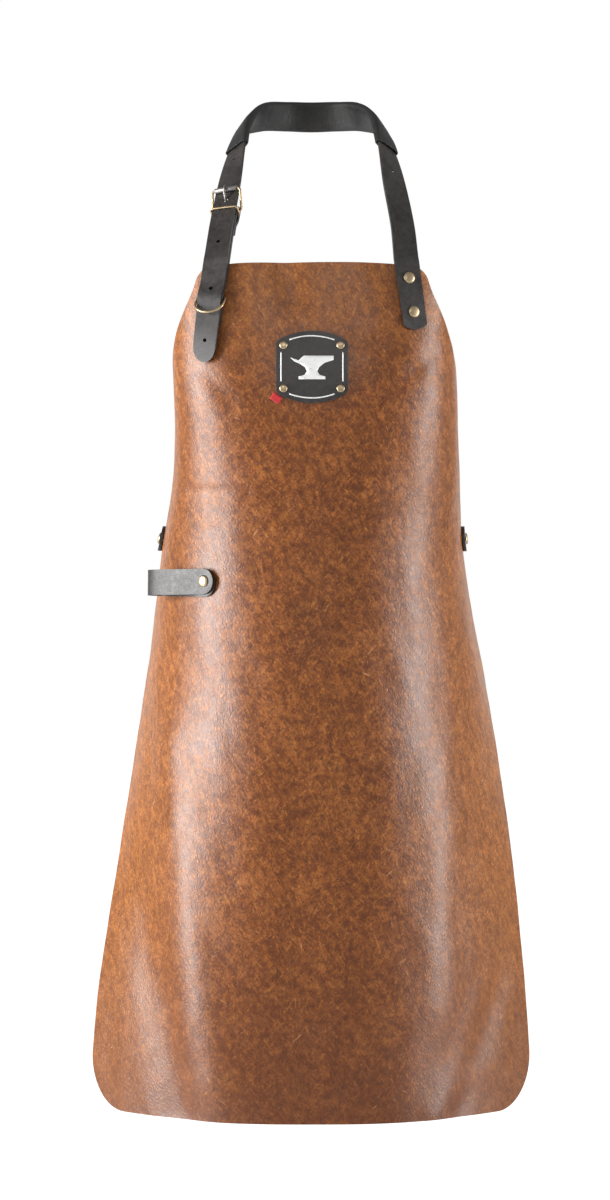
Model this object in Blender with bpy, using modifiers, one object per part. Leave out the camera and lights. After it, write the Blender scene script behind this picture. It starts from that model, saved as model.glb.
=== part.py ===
"""Leather blacksmith apron, hung by its neck strap.

Units are metres, +Z is up, the front faces -Y and +X is on the viewer's right.
The origin is the nape, where the sleeve of the neck strap rests.
Places on the sheet are given as s, the distance across from its centre line along
the leather, and t, the distance down from its top edge.
"""
import math
from collections import namedtuple
from functools import lru_cache

import bmesh
import bpy
from mathutils import Matrix, Vector

# Clearance between pieces that touch
CLEARANCE = 0.0003
BACK_CLEARANCE = 0.0008

# Sheet of brown leather
SHEET_WALL = 0.0018
BIB_TOP_WIDTH = 0.232
WAIST_WIDTH = 0.540
HEM_WIDTH = 0.573
BIB_LENGTH = 0.280
SKIRT_LENGTH = 0.582
TOP_CORNER_RADIUS = 0.012
HEM_CORNER_RADIUS = 0.060
TOP_EDGE_SAG = 0.005
NECK_DROP = 0.165
CHEST_DEPTH = 0.185
SHEET_COLUMNS = 28
BIB_ROWS = 14
SKIRT_ROWS = 10

# Fineness of the paths and of the pieces laid along them
STATION = 0.002
STRAP_STEP = 0.011
LAP_STEP = 0.006
LOOP_STEP = 0.0065
HOLE_SIDES = 10
RIVET_SIDES = 10
ROLLER_SIDES = 14

# Black straps
STRAP_WIDTH = 0.026
STRAP_WALL = 0.0026
STRAP_INSET = 0.0205
STRAP_SPLAY = math.radians(8)
STRAP_END = 0.0625
STRAP_END_BULGE = 0.0045
FREE_END = 0.100
FREE_END_LIFT = 0.0015
HOLE_WIDTH = 0.004
PRONG_HOLE_WIDTH = 0.005
FIRST_HOLE = 0.022
HOLE_PITCH = 0.053
PRONG_HOLE = 3
SPARE_HOLE = 0.034

# Sleeve round the strap at the nape
SLEEVE_LENGTH = 0.280
SLEEVE_WALL = 0.0015
SLEEVE_WIDTH = 0.0314
SLEEVE_HEIGHT = 0.009

# Rivets
CAP_WIDTH = 0.012
CAP_HEIGHT = 0.0022
POST_WIDTH = 0.004
LOW_HEAD_WIDTH = 0.009
LOW_HEAD_HEIGHT = 0.0008
BACK_CAP_WIDTH = 0.010
BACK_CAP_HEIGHT = 0.001
UPPER_RIVET = 0.0135
LEFT_UPPER_RIVET = 0.016
RIVET_PITCH = 0.035

# Adjusting buckle and rings
WIRE_WIDTH = 0.0026
BUCKLE_WIDTH = 0.0318
HEEL_REACH = 0.0095
ROLLER_REACH = 0.0107
ROLLER_WIDTH = 0.0052
ROLLER_LENGTH = 0.0245
ROLLER_WALL = 0.0009
PRONG_WIDTH = 0.0024
KEEPER_WIRE_WIDTH = 0.0022
KEEPER_WIDTH = 0.0296
KEEPER_REACH = 0.0055
KEEPER_CORNER = 0.0012
FOLD_LAP = 0.031
RING_WIDTH = 0.0304
RING_DEPTH = 0.021
RING_SHOULDER = 0.014
RING_LEAN = math.radians(32)

# Badge, its rivets and the tab
BADGE_WIDTH = 0.072
BADGE_HEIGHT = 0.0725
BADGE_SIDE = 0.0515
BADGE_CORNER = 0.004
BADGE_WALL = 0.0018
BADGE_DROP = 0.1063
BADGE_RIVET_ACROSS = 0.057
BADGE_RIVET_DOWN = 0.0432
BADGE_CAP_WIDTH = 0.008
BADGE_CAP_HEIGHT = 0.0016
TAB_WIDTH = 0.0104
TAB_LENGTH = 0.0074
TAB_WALL = 0.0012
TAB_TURN = math.radians(34)

# Side loop
LOOP_ACROSS = 0.1145
LOOP_DROP = 0.320
LOOP_REACH = 0.079
LOOP_END = 0.012
LOOP_GAPE = 0.0105
LOOP_SKEW = 0.003

# Waist belt
BELT_DROP = 0.276
BELT_TIP = 0.216
BELT_RIVET = 0.014
BELT_BACK = 0.041
CLASP_LENGTH = 0.046
CLASP_HEIGHT = 0.036
CLASP_DEPTH = 0.0095
CLASP_CLEARANCE = 0.0006
BELT_GAP = 0.002
BELT_CLEARANCE = 0.0009

# Worked out from the sizes above
SHEET_LENGTH = BIB_LENGTH + SKIRT_LENGTH
STRAP_SPREAD = BIB_TOP_WIDTH / 2 - STRAP_INSET
TURN_REACH = 0.37 * WAIST_WIDTH
ON_SHEET = SHEET_WALL / 2 + CLEARANCE + STRAP_WALL / 2
BELT_RISE = SHEET_WALL / 2 + BELT_CLEARANCE + STRAP_WALL / 2
LAYER_STEP = STRAP_WALL + LOW_HEAD_HEIGHT + 2 * CLEARANCE
FREE_END_RISE = ON_SHEET + LAYER_STEP
RING_BUMP = WIRE_WIDTH + CLEARANCE
RING_BUMP_LENGTH = 0.2 * RIVET_PITCH
FOLD_RADIUS = WIRE_WIDTH / 2 + CLEARANCE + STRAP_WALL / 2
HEEL_RISE = -(LAYER_STEP + FOLD_RADIUS)
ROLLER_RISE = STRAP_WALL / 2 + CLEARANCE + ROLLER_WIDTH / 2
HOLE_RADIUS = POST_WIDTH / 2 + CLEARANCE
RING_DROP = LEFT_UPPER_RIVET + RIVET_PITCH / 2

# Sections of the worn sheet. drop: 0 top edge, 1 waist, 2 hem. front: share of CHEST_DEPTH.
# turn_left, turn_right: degrees that the leather has turned at TURN_REACH.
# power and flatten: how the turn grows across the sheet.
Section = namedtuple("Section", "drop front turn_left turn_right power flatten")
SECTIONS = (
    Section(0.00, 0.908, 122, 110, 2.5, 0.0),
    Section(0.18, 0.962, 121, 117, 2.4, 0.0),
    Section(0.46, 1.022, 112, 101, 2.0, 0.0),
    Section(0.71, 1.011, 95, 85, 1.5, 0.0),
    Section(1.00, 1.000, 76, 75, 1.1, 0.0),
    Section(1.24, 1.027, 67, 64, 1.1, 0.3),
    Section(1.55, 1.049, 58, 55, 1.8, 2.0),
    Section(1.80, 1.065, 50, 50, 2.2, 4.0),
    Section(2.00, 1.065, 47, 48, 2.5, 6.0),
)

# Side edge of the bib. spread: 0 at BIB_TOP_WIDTH, 1 at WAIST_WIDTH.
Armhole = namedtuple("Armhole", "drop spread")
ARMHOLE = (
    Armhole(0.00, 0.000),
    Armhole(0.09, 0.065),
    Armhole(0.25, 0.250),
    Armhole(0.41, 0.455),
    Armhole(0.64, 0.727),
    Armhole(0.89, 0.948),
    Armhole(1.00, 1.000),
)

# Folds and dents. across_a to across_b: shares of half of WAIST_WIDTH, left is negative.
# drop_a to drop_b: as in SECTIONS. breadth: share of half of WAIST_WIDTH.
# height: share of CHEST_DEPTH, a valley is negative.
Fold = namedtuple("Fold", "across_a drop_a across_b drop_b breadth height")
FOLDS = (
    Fold(-0.11, 0.00, -0.09, 0.12, 0.075, -0.012),
    Fold(0.06, 0.00, 0.05, 0.14, 0.100, 0.007),
    Fold(-0.22, 0.00, -0.21, 0.10, 0.080, 0.006),
    Fold(-0.62, 1.36, -0.40, 1.93, 0.130, 0.030),
    Fold(-0.76, 1.66, -0.52, 1.98, 0.110, -0.024),
    Fold(0.56, 1.40, 0.50, 1.80, 0.130, 0.016),
    Fold(0.62, 1.97, 0.86, 1.78, 0.070, -0.014),
    Fold(0.48, 1.99, 0.70, 1.92, 0.060, 0.010),
    Fold(0.02, 1.86, 0.00, 1.96, 0.045, -0.007),
)

# Route of the neck strap above the bib, mirrored for the other side.
# drop: share of NECK_DROP. spread: share of STRAP_SPREAD. depth: share of CHEST_DEPTH.
# facing: degrees from the front towards the side. rise: degrees above level.
RoutePoint = namedtuple("RoutePoint", "drop spread depth facing rise")
NECK_ROUTE = (
    RoutePoint(0.775, 0.960, 0.790, 24, 14),
    RoutePoint(0.521, 0.885, 0.660, 32, 32),
    RoutePoint(0.267, 0.806, 0.496, 60, 33),
    RoutePoint(0.097, 0.720, 0.328, 85, 35),
    RoutePoint(0.018, 0.522, 0.150, 128, 28),
    RoutePoint(0.000, 0.271, 0.032, 155, 22),
)
NAPE = RoutePoint(0.000, 0.000, 0.000, 180, 18)

# Route of the side loop. reach: share of LOOP_REACH. gape: share of LOOP_GAPE.
# layer: 1 for the outer leg at the rivet, 0 for the inner leg.
LoopPoint = namedtuple("LoopPoint", "reach gape layer")
LOOP_ROUTE = (
    LoopPoint(0.00, 0.00, 1.0),
    LoopPoint(0.16, 0.00, 1.0),
    LoopPoint(0.50, 0.14, 1.0),
    LoopPoint(0.80, 0.16, 1.0),
    LoopPoint(0.95, -0.06, 1.0),
    LoopPoint(1.00, -0.50, 1.0),
    LoopPoint(0.94, -0.90, 0.7),
    LoopPoint(0.78, -0.98, 0.2),
    LoopPoint(0.48, -0.42, 0.0),
    LoopPoint(0.18, 0.00, 0.0),
    LoopPoint(0.00, 0.00, 0.0),
)

# Route of the belt behind the sheet's side edge, mirrored for the other side.
# side: share of the edge's distance from the middle. back: share of the way to BELT_BACK.
BeltPoint = namedtuple("BeltPoint", "side back")
BELT_ROUTE = (
    BeltPoint(0.925, 0.34),
    BeltPoint(0.770, 0.70),
    BeltPoint(0.510, 0.93),
    BeltPoint(0.250, 1.00),
    BeltPoint(0.120, 1.00),
)

BROWN_LEATHER = ("brown_leather", (0.235, 0.085, 0.030, 1), 0.45, 0.0)
BLACK_LEATHER = ("black_leather", (0.012, 0.011, 0.010, 1), 0.40, 0.0)
SOFT_LEATHER = ("soft_black_leather", (0.016, 0.015, 0.014, 1), 0.55, 0.0)
BRASS = ("antique_brass", (0.36, 0.26, 0.13, 1), 0.32, 1.0)
STEEL = ("steel", (0.52, 0.51, 0.50, 1), 0.30, 1.0)
RED_RIBBON = ("red_ribbon", (0.55, 0.015, 0.012, 1), 0.70, 0.0)


def clear_scene():
    """Remove every object of the open file."""
    for obj in list(bpy.data.objects):
        bpy.data.objects.remove(obj, do_unlink=True)


def new_collection(name):
    """Return a new collection linked to the scene."""
    collection = bpy.data.collections.new(name)
    bpy.context.scene.collection.children.link(collection)
    return collection


def move_to(obj, collection):
    """Keep an object in one collection only."""
    for old in list(obj.users_collection):
        old.objects.unlink(obj)
    collection.objects.link(obj)


def dress(obj, finish):
    """Give an object its own Principled material."""
    label, colour, roughness, metallic = finish
    material = bpy.data.materials.new(f"{obj.name}_{label}")
    material.use_nodes = True
    shader = material.node_tree.nodes["Principled BSDF"]
    shader.inputs["Base Color"].default_value = colour
    shader.inputs["Roughness"].default_value = roughness
    shader.inputs["Metallic"].default_value = metallic
    obj.data.materials.clear()
    obj.data.materials.append(material)


def smooth_value(places, values, at):
    """Value at a place on a smooth curve through pairs of place and value."""
    if at <= places[0]:
        return values[0]
    if at >= places[-1]:
        return values[-1]
    k = max(i for i in range(len(places) - 1) if places[i] <= at)

    def slope(i):
        low, high = max(i - 1, 0), min(i + 1, len(places) - 1)
        return (values[high] - values[low]) / (places[high] - places[low])

    span = places[k + 1] - places[k]
    x = (at - places[k]) / span
    ease = x * x * (3 - 2 * x)
    lead = x * (1 - x) ** 2 * span * slope(k)
    trail = x * x * (x - 1) * span * slope(k + 1)
    return values[k] * (1 - ease) + values[k + 1] * ease + lead + trail


def column(table, name):
    """One column of a table of named tuples."""
    return [getattr(row, name) for row in table]


def drop_share(t):
    """Share of a drop below the top edge: 1 at the waist and 2 at the hem."""
    if t <= BIB_LENGTH:
        return t / BIB_LENGTH
    return 1 + (t - BIB_LENGTH) / SKIRT_LENGTH


def drop_length(share):
    """Drop below the top edge at a share, the inverse of drop_share."""
    return min(share, 1) * BIB_LENGTH + max(share - 1, 0) * SKIRT_LENGTH


@lru_cache(maxsize=None)
def section_at(t):
    """Front, two turns, power and flatten at a drop, as one tuple."""
    drops = column(SECTIONS, "drop")
    at = drop_share(t)
    return tuple(smooth_value(drops, column(SECTIONS, name), at) for name in Section._fields[1:])


def half_width(t):
    """Half of the sheet's width along the leather at a drop, with its round corners."""
    share = drop_share(t)
    spread = smooth_value(column(ARMHOLE, "drop"), column(ARMHOLE, "spread"), min(share, 1))
    bib = BIB_TOP_WIDTH + (WAIST_WIDTH - BIB_TOP_WIDTH) * spread
    full = bib + (HEM_WIDTH - WAIST_WIDTH) * max(share - 1, 0)
    return full / 2 - corner_cut(t, TOP_CORNER_RADIUS) - corner_cut(SHEET_LENGTH - t, HEM_CORNER_RADIUS)


def corner_cut(distance, radius):
    """How far a round corner pulls in, at a distance from the edge that it ends on."""
    if distance >= radius:
        return 0.0
    rest = radius - distance
    return radius - math.sqrt(max(radius * radius - rest * rest, 0))


@lru_cache(maxsize=None)
def base_point(s, t):
    """Point on the sheet's middle before folds: the turn is summed along the leather."""
    front, turn_left, turn_right, power, flatten = section_at(t)
    turn = math.radians(turn_left if s < 0 else turn_right)
    steps = 24
    step = abs(s) / steps
    x = y = 0.0
    for i in range(steps):
        share = ((i + 0.5) * step / TURN_REACH) ** power
        angle = turn * share * (1 + flatten) / (1 + flatten * share)
        x += math.cos(angle) * step
        y += math.sin(angle) * step
    reach = min(abs(s) / (BIB_TOP_WIDTH / 2), 1.1)
    sag = TOP_EDGE_SAG * reach ** 4 * max(0, 1 - 2 * t / BIB_LENGTH) ** 2
    return Vector((math.copysign(x, s), y - front * CHEST_DEPTH, -NECK_DROP - t - sag))


def fold_height(s, t):
    """Sum of the folds and dents at a place on the sheet."""
    half = WAIST_WIDTH / 2
    total = 0.0
    for fold in FOLDS:
        start = Vector((fold.across_a * half, drop_length(fold.drop_a)))
        line = Vector((fold.across_b * half, drop_length(fold.drop_b))) - start
        here = Vector((s, t)) - start
        along = min(max(here.dot(line) / line.length_squared, 0), 1)
        away = (here - line * along).length / (fold.breadth * half)
        total += fold.height * CHEST_DEPTH * math.exp(-away * away)
    return total


def square_to(place, s, t):
    """Unit normal, out of the front, of a surface given by a function of s and t."""
    step = STATION
    across = place(s + step, t) - place(s - step, t)
    down = place(s, t + step) - place(s, t - step)
    return down.cross(across).normalized()


@lru_cache(maxsize=None)
def sheet_point(s, t):
    """Point on the middle of the folded sheet."""
    return base_point(s, t) + square_to(base_point, s, t) * fold_height(s, t)


@lru_cache(maxsize=None)
def sheet_normal(s, t):
    """Normal of the folded sheet, out of its front."""
    return square_to(sheet_point, s, t)


def over_sheet(s, t, rise):
    """Point at a height above the sheet's middle."""
    return sheet_point(s, t) + sheet_normal(s, t) * rise


class Path:
    """Centre line of a strap with a frame at each station: along, across and out."""

    def __init__(self, centres, normals):
        """Join the centres smoothly and turn the normals from one to the next."""
        places = [0.0]
        for a, b in zip(centres, centres[1:]):
            places.append(places[-1] + (b - a).length)
        count = max(8, round(places[-1] / STATION))
        ats = [places[-1] * i / count for i in range(count + 1)]
        self.centres = [self.blend(places, centres, at) for at in ats]
        hints = [self.blend(places, normals, at) for at in ats]
        self.lengths = [0.0]
        for a, b in zip(self.centres, self.centres[1:]):
            self.lengths.append(self.lengths[-1] + (b - a).length)
        self.length = self.lengths[-1]
        self.frames = []
        for i, hint in enumerate(hints):
            along = (self.centres[min(i + 1, count)] - self.centres[max(i - 1, 0)]).normalized()
            out = (hint - along * hint.dot(along)).normalized()
            self.frames.append((along, along.cross(out), out))

    @staticmethod
    def blend(places, vectors, at):
        """Vector at a place on a smooth curve through vectors."""
        return Vector([smooth_value(places, [v[axis] for v in vectors], at) for axis in range(3)])

    def frame(self, v):
        """Centre, along, across and out at a distance along the path."""
        share = min(max(v / self.length, 0), 1) * (len(self.centres) - 1)
        i = min(int(share), len(self.centres) - 2)
        mix = share - i
        centre = self.centres[i].lerp(self.centres[i + 1], mix)
        pairs = zip(self.frames[i], self.frames[i + 1])
        return (centre, *(a.lerp(b, mix).normalized() for a, b in pairs))

    def place(self, v, u, n):
        """Point at v along, u across and n out."""
        centre, along, across, out = self.frame(v)
        spare = v - min(max(v, 0), self.length)
        return centre + along * spare + across * u + out * n

    def nearest(self, point):
        """Distance along the path of the place nearest to a point."""
        last = len(self.centres) - 1
        i = min(range(last + 1), key=lambda k: (self.centres[k] - point).length_squared)
        ahead = (point - self.centres[i]).dot(self.frames[i][0])
        return self.length * i / last + ahead


def strap_across(t):
    """Distance of a strap's centre line from the middle of the bib, at a drop."""
    return STRAP_SPREAD + t * math.tan(STRAP_SPLAY)


def aim(facing, rise, side):
    """Unit vector from degrees off the front and degrees above level."""
    turn, up = math.radians(facing), math.radians(rise)
    return Vector((side * math.sin(turn) * math.cos(up), -math.cos(turn) * math.cos(up), math.sin(up)))


def route_point(row, side):
    """Centre and normal of one row of the neck strap's route, on one side."""
    seat = aim(NAPE.facing, NAPE.rise, 0) * (SLEEVE_HEIGHT / 2)
    x, y, z = side * row.spread * STRAP_SPREAD, -row.depth * CHEST_DEPTH, -row.drop * NECK_DROP
    return Vector((x, y, z)) + seat, aim(row.facing, row.rise, side)


def free_end_rise(t):
    """Height of the free end over the sheet: over the ring's bar, and down to the tip."""
    bump = RING_BUMP * math.exp(-((t - RING_DROP) / RING_BUMP_LENGTH) ** 2)
    past = max(0, t - STRAP_END) / (FREE_END - STRAP_END)
    return FREE_END_RISE + bump - (LAYER_STEP - FREE_END_LIFT) * past ** 2


def straight_on(before, last):
    """Stop as far past the last one as that lies from the one before it."""
    return last[0] * 2 - before[0], last[1]


def neck_path():
    """Path from the right end on the bib, round the nape, to the free end's tip."""
    stops = []
    bib_rows = 9
    for i in range(bib_rows + 1):
        t = STRAP_END * (1 - i / bib_rows)
        s = strap_across(t)
        stops.append((over_sheet(s, t, ON_SHEET), sheet_normal(s, t)))
    stops.append(straight_on(stops[-2], stops[-1]))
    stops += [route_point(row, 1) for row in NECK_ROUTE]
    stops.append(route_point(NAPE, 0))
    stops += [route_point(row, -1) for row in reversed(NECK_ROUTE)]
    tip_rows = 24
    free_end = []
    for i in range(tip_rows + 1):
        t = FREE_END * i / tip_rows
        s = -strap_across(t)
        free_end.append((over_sheet(s, t, free_end_rise(t)), sheet_normal(s, t)))
    stops.append(straight_on(free_end[2], free_end[0]))
    stops += free_end
    return Path([centre for centre, _ in stops], [normal for _, normal in stops])


def mapped_grid(name, columns, rows, place, wall, collection, finish, closed=False):
    """Make a wall from a grid whose corner i, j goes to place(i, j).

    The grid has columns + 1 by rows + 1 corners. A closed grid joins its first and last column.
    """
    bm = bmesh.new()
    bmesh.ops.create_grid(bm, x_segments=columns, y_segments=rows, size=1)
    for vert in bm.verts:
        i = round((vert.co.x + 1) / 2 * columns)
        j = round((vert.co.y + 1) / 2 * rows)
        vert.co = place(i, j)
    if closed:
        bmesh.ops.remove_doubles(bm, verts=bm.verts, dist=1e-6)
    bmesh.ops.recalc_face_normals(bm, faces=bm.faces)
    mesh = bpy.data.meshes.new(name)
    bm.to_mesh(mesh)
    bm.free()
    mesh.shade_smooth()
    obj = bpy.data.objects.new(name, mesh)
    collection.objects.link(obj)
    solid = obj.modifiers.new("Wall", "SOLIDIFY")
    solid.thickness = wall
    solid.offset = 0
    dress(obj, finish)
    return obj


def strap_rows(start, end, step, start_round, end_round):
    """Rows of a strap as pairs of distance and half width, round at the ends asked for."""
    radius = STRAP_WIDTH / 2
    turns = [math.radians(angle) for angle in (12, 35, 60)]
    first = start + radius if start_round else start
    last = end - radius if end_round else end
    count = max(2, round((last - first) / step))
    rows = [(first + (last - first) * i / count, radius) for i in range(count + 1)]
    if start_round:
        rows = [(start + radius * (1 - math.cos(a)), radius * math.sin(a)) for a in turns] + rows
    if end_round:
        rows += [(end - radius * (1 - math.cos(a)), radius * math.sin(a)) for a in reversed(turns)]
    return rows


def strap(name, rows, place, collection, finish, wall=STRAP_WALL):
    """Make a strap from rows of distance and half width, laid out by place(v, u)."""
    columns = 2

    def corner(i, j):
        v, half = rows[j]
        return place(v, half * (2 * i / columns - 1))

    return mapped_grid(name, columns, len(rows) - 1, corner, wall, collection, finish)


def wire(name, points, width, collection, finish, cyclic=False):
    """Make a round wire along points."""
    curve = bpy.data.curves.new(name, "CURVE")
    curve.dimensions = "3D"
    curve.bevel_depth = width / 2
    curve.bevel_resolution = 2
    curve.use_fill_caps = True
    spline = curve.splines.new("POLY")
    spline.points.add(len(points) - 1)
    for place, point in zip(spline.points, points):
        place.co = (*point, 1)
    spline.use_cyclic_u = cyclic
    obj = bpy.data.objects.new(name, curve)
    collection.objects.link(obj)
    dress(obj, finish)
    return obj


def turned(name, profile, steps, seat, axis, collection, finish, closed=False):
    """Turn a profile of radius and height about an axis through a seat."""
    bm = bmesh.new()
    verts = [bm.verts.new((radius, 0, height)) for radius, height in profile]
    for a, b in zip(verts, verts[1:]):
        bm.edges.new((a, b))
    if closed:
        bm.edges.new((verts[-1], verts[0]))
    mesh = bpy.data.meshes.new(name)
    bm.to_mesh(mesh)
    bm.free()
    obj = bpy.data.objects.new(name, mesh)
    collection.objects.link(obj)
    screw = obj.modifiers.new("Turn", "SCREW")
    screw.steps = screw.render_steps = steps
    screw.use_merge_vertices = True
    screw.merge_threshold = 0.00001
    obj.location = seat
    obj.rotation_euler = axis.to_track_quat("Z", "Y").to_euler()
    dress(obj, finish)
    return obj


def punch(obj, centre, axis, radius, depth, cutters):
    """Cut a round hole through an object."""
    bpy.ops.mesh.primitive_cylinder_add(vertices=HOLE_SIDES, radius=radius, depth=depth, location=centre)
    cutter = bpy.context.object
    cutter.rotation_euler = axis.to_track_quat("Z", "Y").to_euler()
    cut_with(obj, cutter, cutters)


def cut_with(obj, cutter, cutters):
    """Subtract a cutter from an object and file the cutter away."""
    cutter.name = f"{obj.name}_cutter"
    cutter.hide_render = True
    cutter.display_type = "WIRE"
    move_to(cutter, cutters)
    boolean = obj.modifiers.new("Cut", "BOOLEAN")
    boolean.operation = "DIFFERENCE"
    boolean.solver = "EXACT"
    boolean.object = cutter


class Apron:
    """The whole apron: each method makes one group of pieces."""

    def __init__(self):
        """Make the collections and the path that the neck pieces share."""
        self.parts = new_collection("leather_blacksmith_apron")
        self.cutters = new_collection("cutters")
        self.neck = neck_path()
        self.prong_at = self.neck.length - FIRST_HOLE - PRONG_HOLE * HOLE_PITCH

    def rivet(self, name, seat, axis, cap, stack, through):
        """Make a rivet with a domed cap on the seat, a post through a stack and a cap behind.

        cap is a pair of width and height. Every object in through gets a hole for the post.
        """
        width, height = cap
        under = CLEARANCE
        behind = -stack - BACK_CLEARANCE
        back = min(BACK_CAP_WIDTH, width)
        profile = [
            (0, under + height),
            (0.30 * width, under + 0.85 * height),
            (0.50 * width, under + 0.30 * height),
            (0.50 * width, under),
            (POST_WIDTH / 2, under),
            (POST_WIDTH / 2, behind),
            (back / 2, behind),
            (back / 2, behind - BACK_CAP_HEIGHT),
            (0, behind - BACK_CAP_HEIGHT),
        ]
        turned(name, profile, RIVET_SIDES, seat, axis, self.parts, BRASS)
        centre = seat - axis * (stack / 2)
        for obj in through:
            punch(obj, centre, axis, HOLE_RADIUS, 2 * stack + 4 * STRAP_WALL, self.cutters)

    def make_sheet(self):
        """Make the bib and skirt."""
        top = [TOP_CORNER_RADIUS * (1 - math.cos(math.radians(a))) for a in (0, 30, 60)]
        first, last = TOP_CORNER_RADIUS, SHEET_LENGTH - HEM_CORNER_RADIUS
        bib = [first + (BIB_LENGTH - first) * i / BIB_ROWS for i in range(BIB_ROWS)]
        shares = [(i / SKIRT_ROWS) ** 1.3 for i in range(SKIRT_ROWS + 1)]
        skirt = [BIB_LENGTH + (last - BIB_LENGTH) * share for share in shares]
        hem = [last + HEM_CORNER_RADIUS * math.sin(math.radians(a)) for a in (22, 42, 58, 74, 90)]
        drops = top + bib + skirt + hem

        def corner(i, j):
            t = drops[j]
            return sheet_point((2 * i / SHEET_COLUMNS - 1) * half_width(t), t)

        self.sheet = mapped_grid("apron_body", SHEET_COLUMNS, len(drops) - 1, corner,
                                 SHEET_WALL, self.parts, BROWN_LEATHER)

    def make_neck_strap(self):
        """Make the neck strap with its punched holes."""
        rows = strap_rows(0, self.neck.length, STRAP_STEP, False, True)

        def place(v, u):
            bulge = 0.0
            if v <= 0:
                bulge = STRAP_END_BULGE * (1 - (2 * u / STRAP_WIDTH) ** 2)
            return self.neck.place(v - bulge, u, 0)

        self.neck_strap = strap("neck_strap", rows, place, self.parts, BLACK_LEATHER)
        for k in range(PRONG_HOLE + 2):
            width = PRONG_HOLE_WIDTH if k == PRONG_HOLE else HOLE_WIDTH
            self.punch_strap(self.neck.length - FIRST_HOLE - k * HOLE_PITCH, width)
        sleeve_mouth = self.neck.nearest(route_point(NAPE, 0)[0]) - SLEEVE_LENGTH / 2
        self.punch_strap(sleeve_mouth - SPARE_HOLE, HOLE_WIDTH)

    def punch_strap(self, v, width):
        """Punch one hole through the neck strap at a distance along it."""
        centre, _, _, out = self.neck.frame(v)
        punch(self.neck_strap, centre, out, width / 2, 2 * STRAP_WALL, self.cutters)

    def make_sleeve(self):
        """Make the soft tube round the strap at the nape, open at both ends."""
        middle = self.neck.nearest(route_point(NAPE, 0)[0])
        columns, rows = 12, 18

        def corner(i, j):
            turn = 2 * math.pi * i / columns
            c, s = math.cos(turn), math.sin(turn)
            u = math.copysign(math.sqrt(abs(c)), c) * (SLEEVE_WIDTH - SLEEVE_WALL) / 2
            n = math.copysign(math.sqrt(abs(s)), s) * (SLEEVE_HEIGHT - SLEEVE_WALL) / 2
            return self.neck.place(middle + SLEEVE_LENGTH * (j / rows - 0.5), u, n)

        mapped_grid("neck_sleeve", columns, rows, corner, SLEEVE_WALL, self.parts,
                    SOFT_LEATHER, closed=True)

    def make_neck_rivets(self):
        """Rivet the strap's right end to the bib."""
        stack = STRAP_WALL + CLEARANCE + SHEET_WALL
        for label, t in (("upper", UPPER_RIVET), ("lower", UPPER_RIVET + RIVET_PITCH)):
            s = strap_across(t)
            axis = sheet_normal(s, t)
            seat = over_sheet(s, t, ON_SHEET + STRAP_WALL / 2)
            self.rivet(f"strap_rivet_right_{label}", seat, axis, (CAP_WIDTH, CAP_HEIGHT),
                       stack, [self.sheet, self.neck_strap])

    def make_buckle_strap(self):
        """Make the short strap: from the bib's corner up, round the heel bar and back down."""
        heel = HEEL_REACH
        lap = [
            (heel + FOLD_LAP, -LAYER_STEP - STRAP_WALL - CLEARANCE),
            (heel + 0.85 * FOLD_LAP, -LAYER_STEP - STRAP_WALL - CLEARANCE),
            (heel + 0.62 * FOLD_LAP, -LAYER_STEP - STRAP_WALL - CLEARANCE),
            (heel + 0.38 * FOLD_LAP, HEEL_RISE - 0.86 * FOLD_RADIUS),
            (heel + 0.24 * FOLD_LAP, HEEL_RISE - FOLD_RADIUS),
            (heel + 0.10 * FOLD_LAP, HEEL_RISE - FOLD_RADIUS),
        ]
        bend = 8
        for i in range(bend + 1):
            turn = math.pi * i / bend
            lap.append((heel - FOLD_RADIUS * math.sin(turn), HEEL_RISE - FOLD_RADIUS * math.cos(turn)))
        foot_s = -strap_across(STRAP_END)
        foot = self.neck.nearest(over_sheet(foot_s, STRAP_END, FREE_END_RISE))
        length = foot - self.prong_at - heel
        count = round(length / LAP_STEP)
        lap += [(heel + length * i / count, -LAYER_STEP) for i in range(1, count + 1)]

        def corner(i, j):
            w, n = lap[j]
            return self.neck.place(self.prong_at + w, (i - 1) * STRAP_WIDTH / 2, n)

        self.buckle_strap = mapped_grid("buckle_strap", 2, len(lap) - 1, corner, STRAP_WALL,
                                        self.parts, BLACK_LEATHER)
        self.cut_prong_slot()
        self.fix_buckle_strap()

    def cut_prong_slot(self):
        """Cut the slot in the fold that lets the prong and its eye through."""
        centre, along, across, out = self.neck.frame(self.prong_at + HEEL_REACH)
        eye = WIRE_WIDTH / 2 + CLEARANCE + PRONG_WIDTH
        length = 2 * (eye + CLEARANCE)
        width = PRONG_WIDTH + 4 * CLEARANCE
        height = 2 * (FOLD_RADIUS + STRAP_WALL)
        bpy.ops.mesh.primitive_cube_add(size=1)
        cutter = bpy.context.object
        turn = Matrix((across, along, out)).transposed().to_4x4()
        scale = Matrix.Diagonal((width, length, height, 1))
        cutter.data.transform(Matrix.Translation(centre + out * HEEL_RISE) @ turn @ scale)
        cut_with(self.buckle_strap, cutter, self.cutters)

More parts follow.
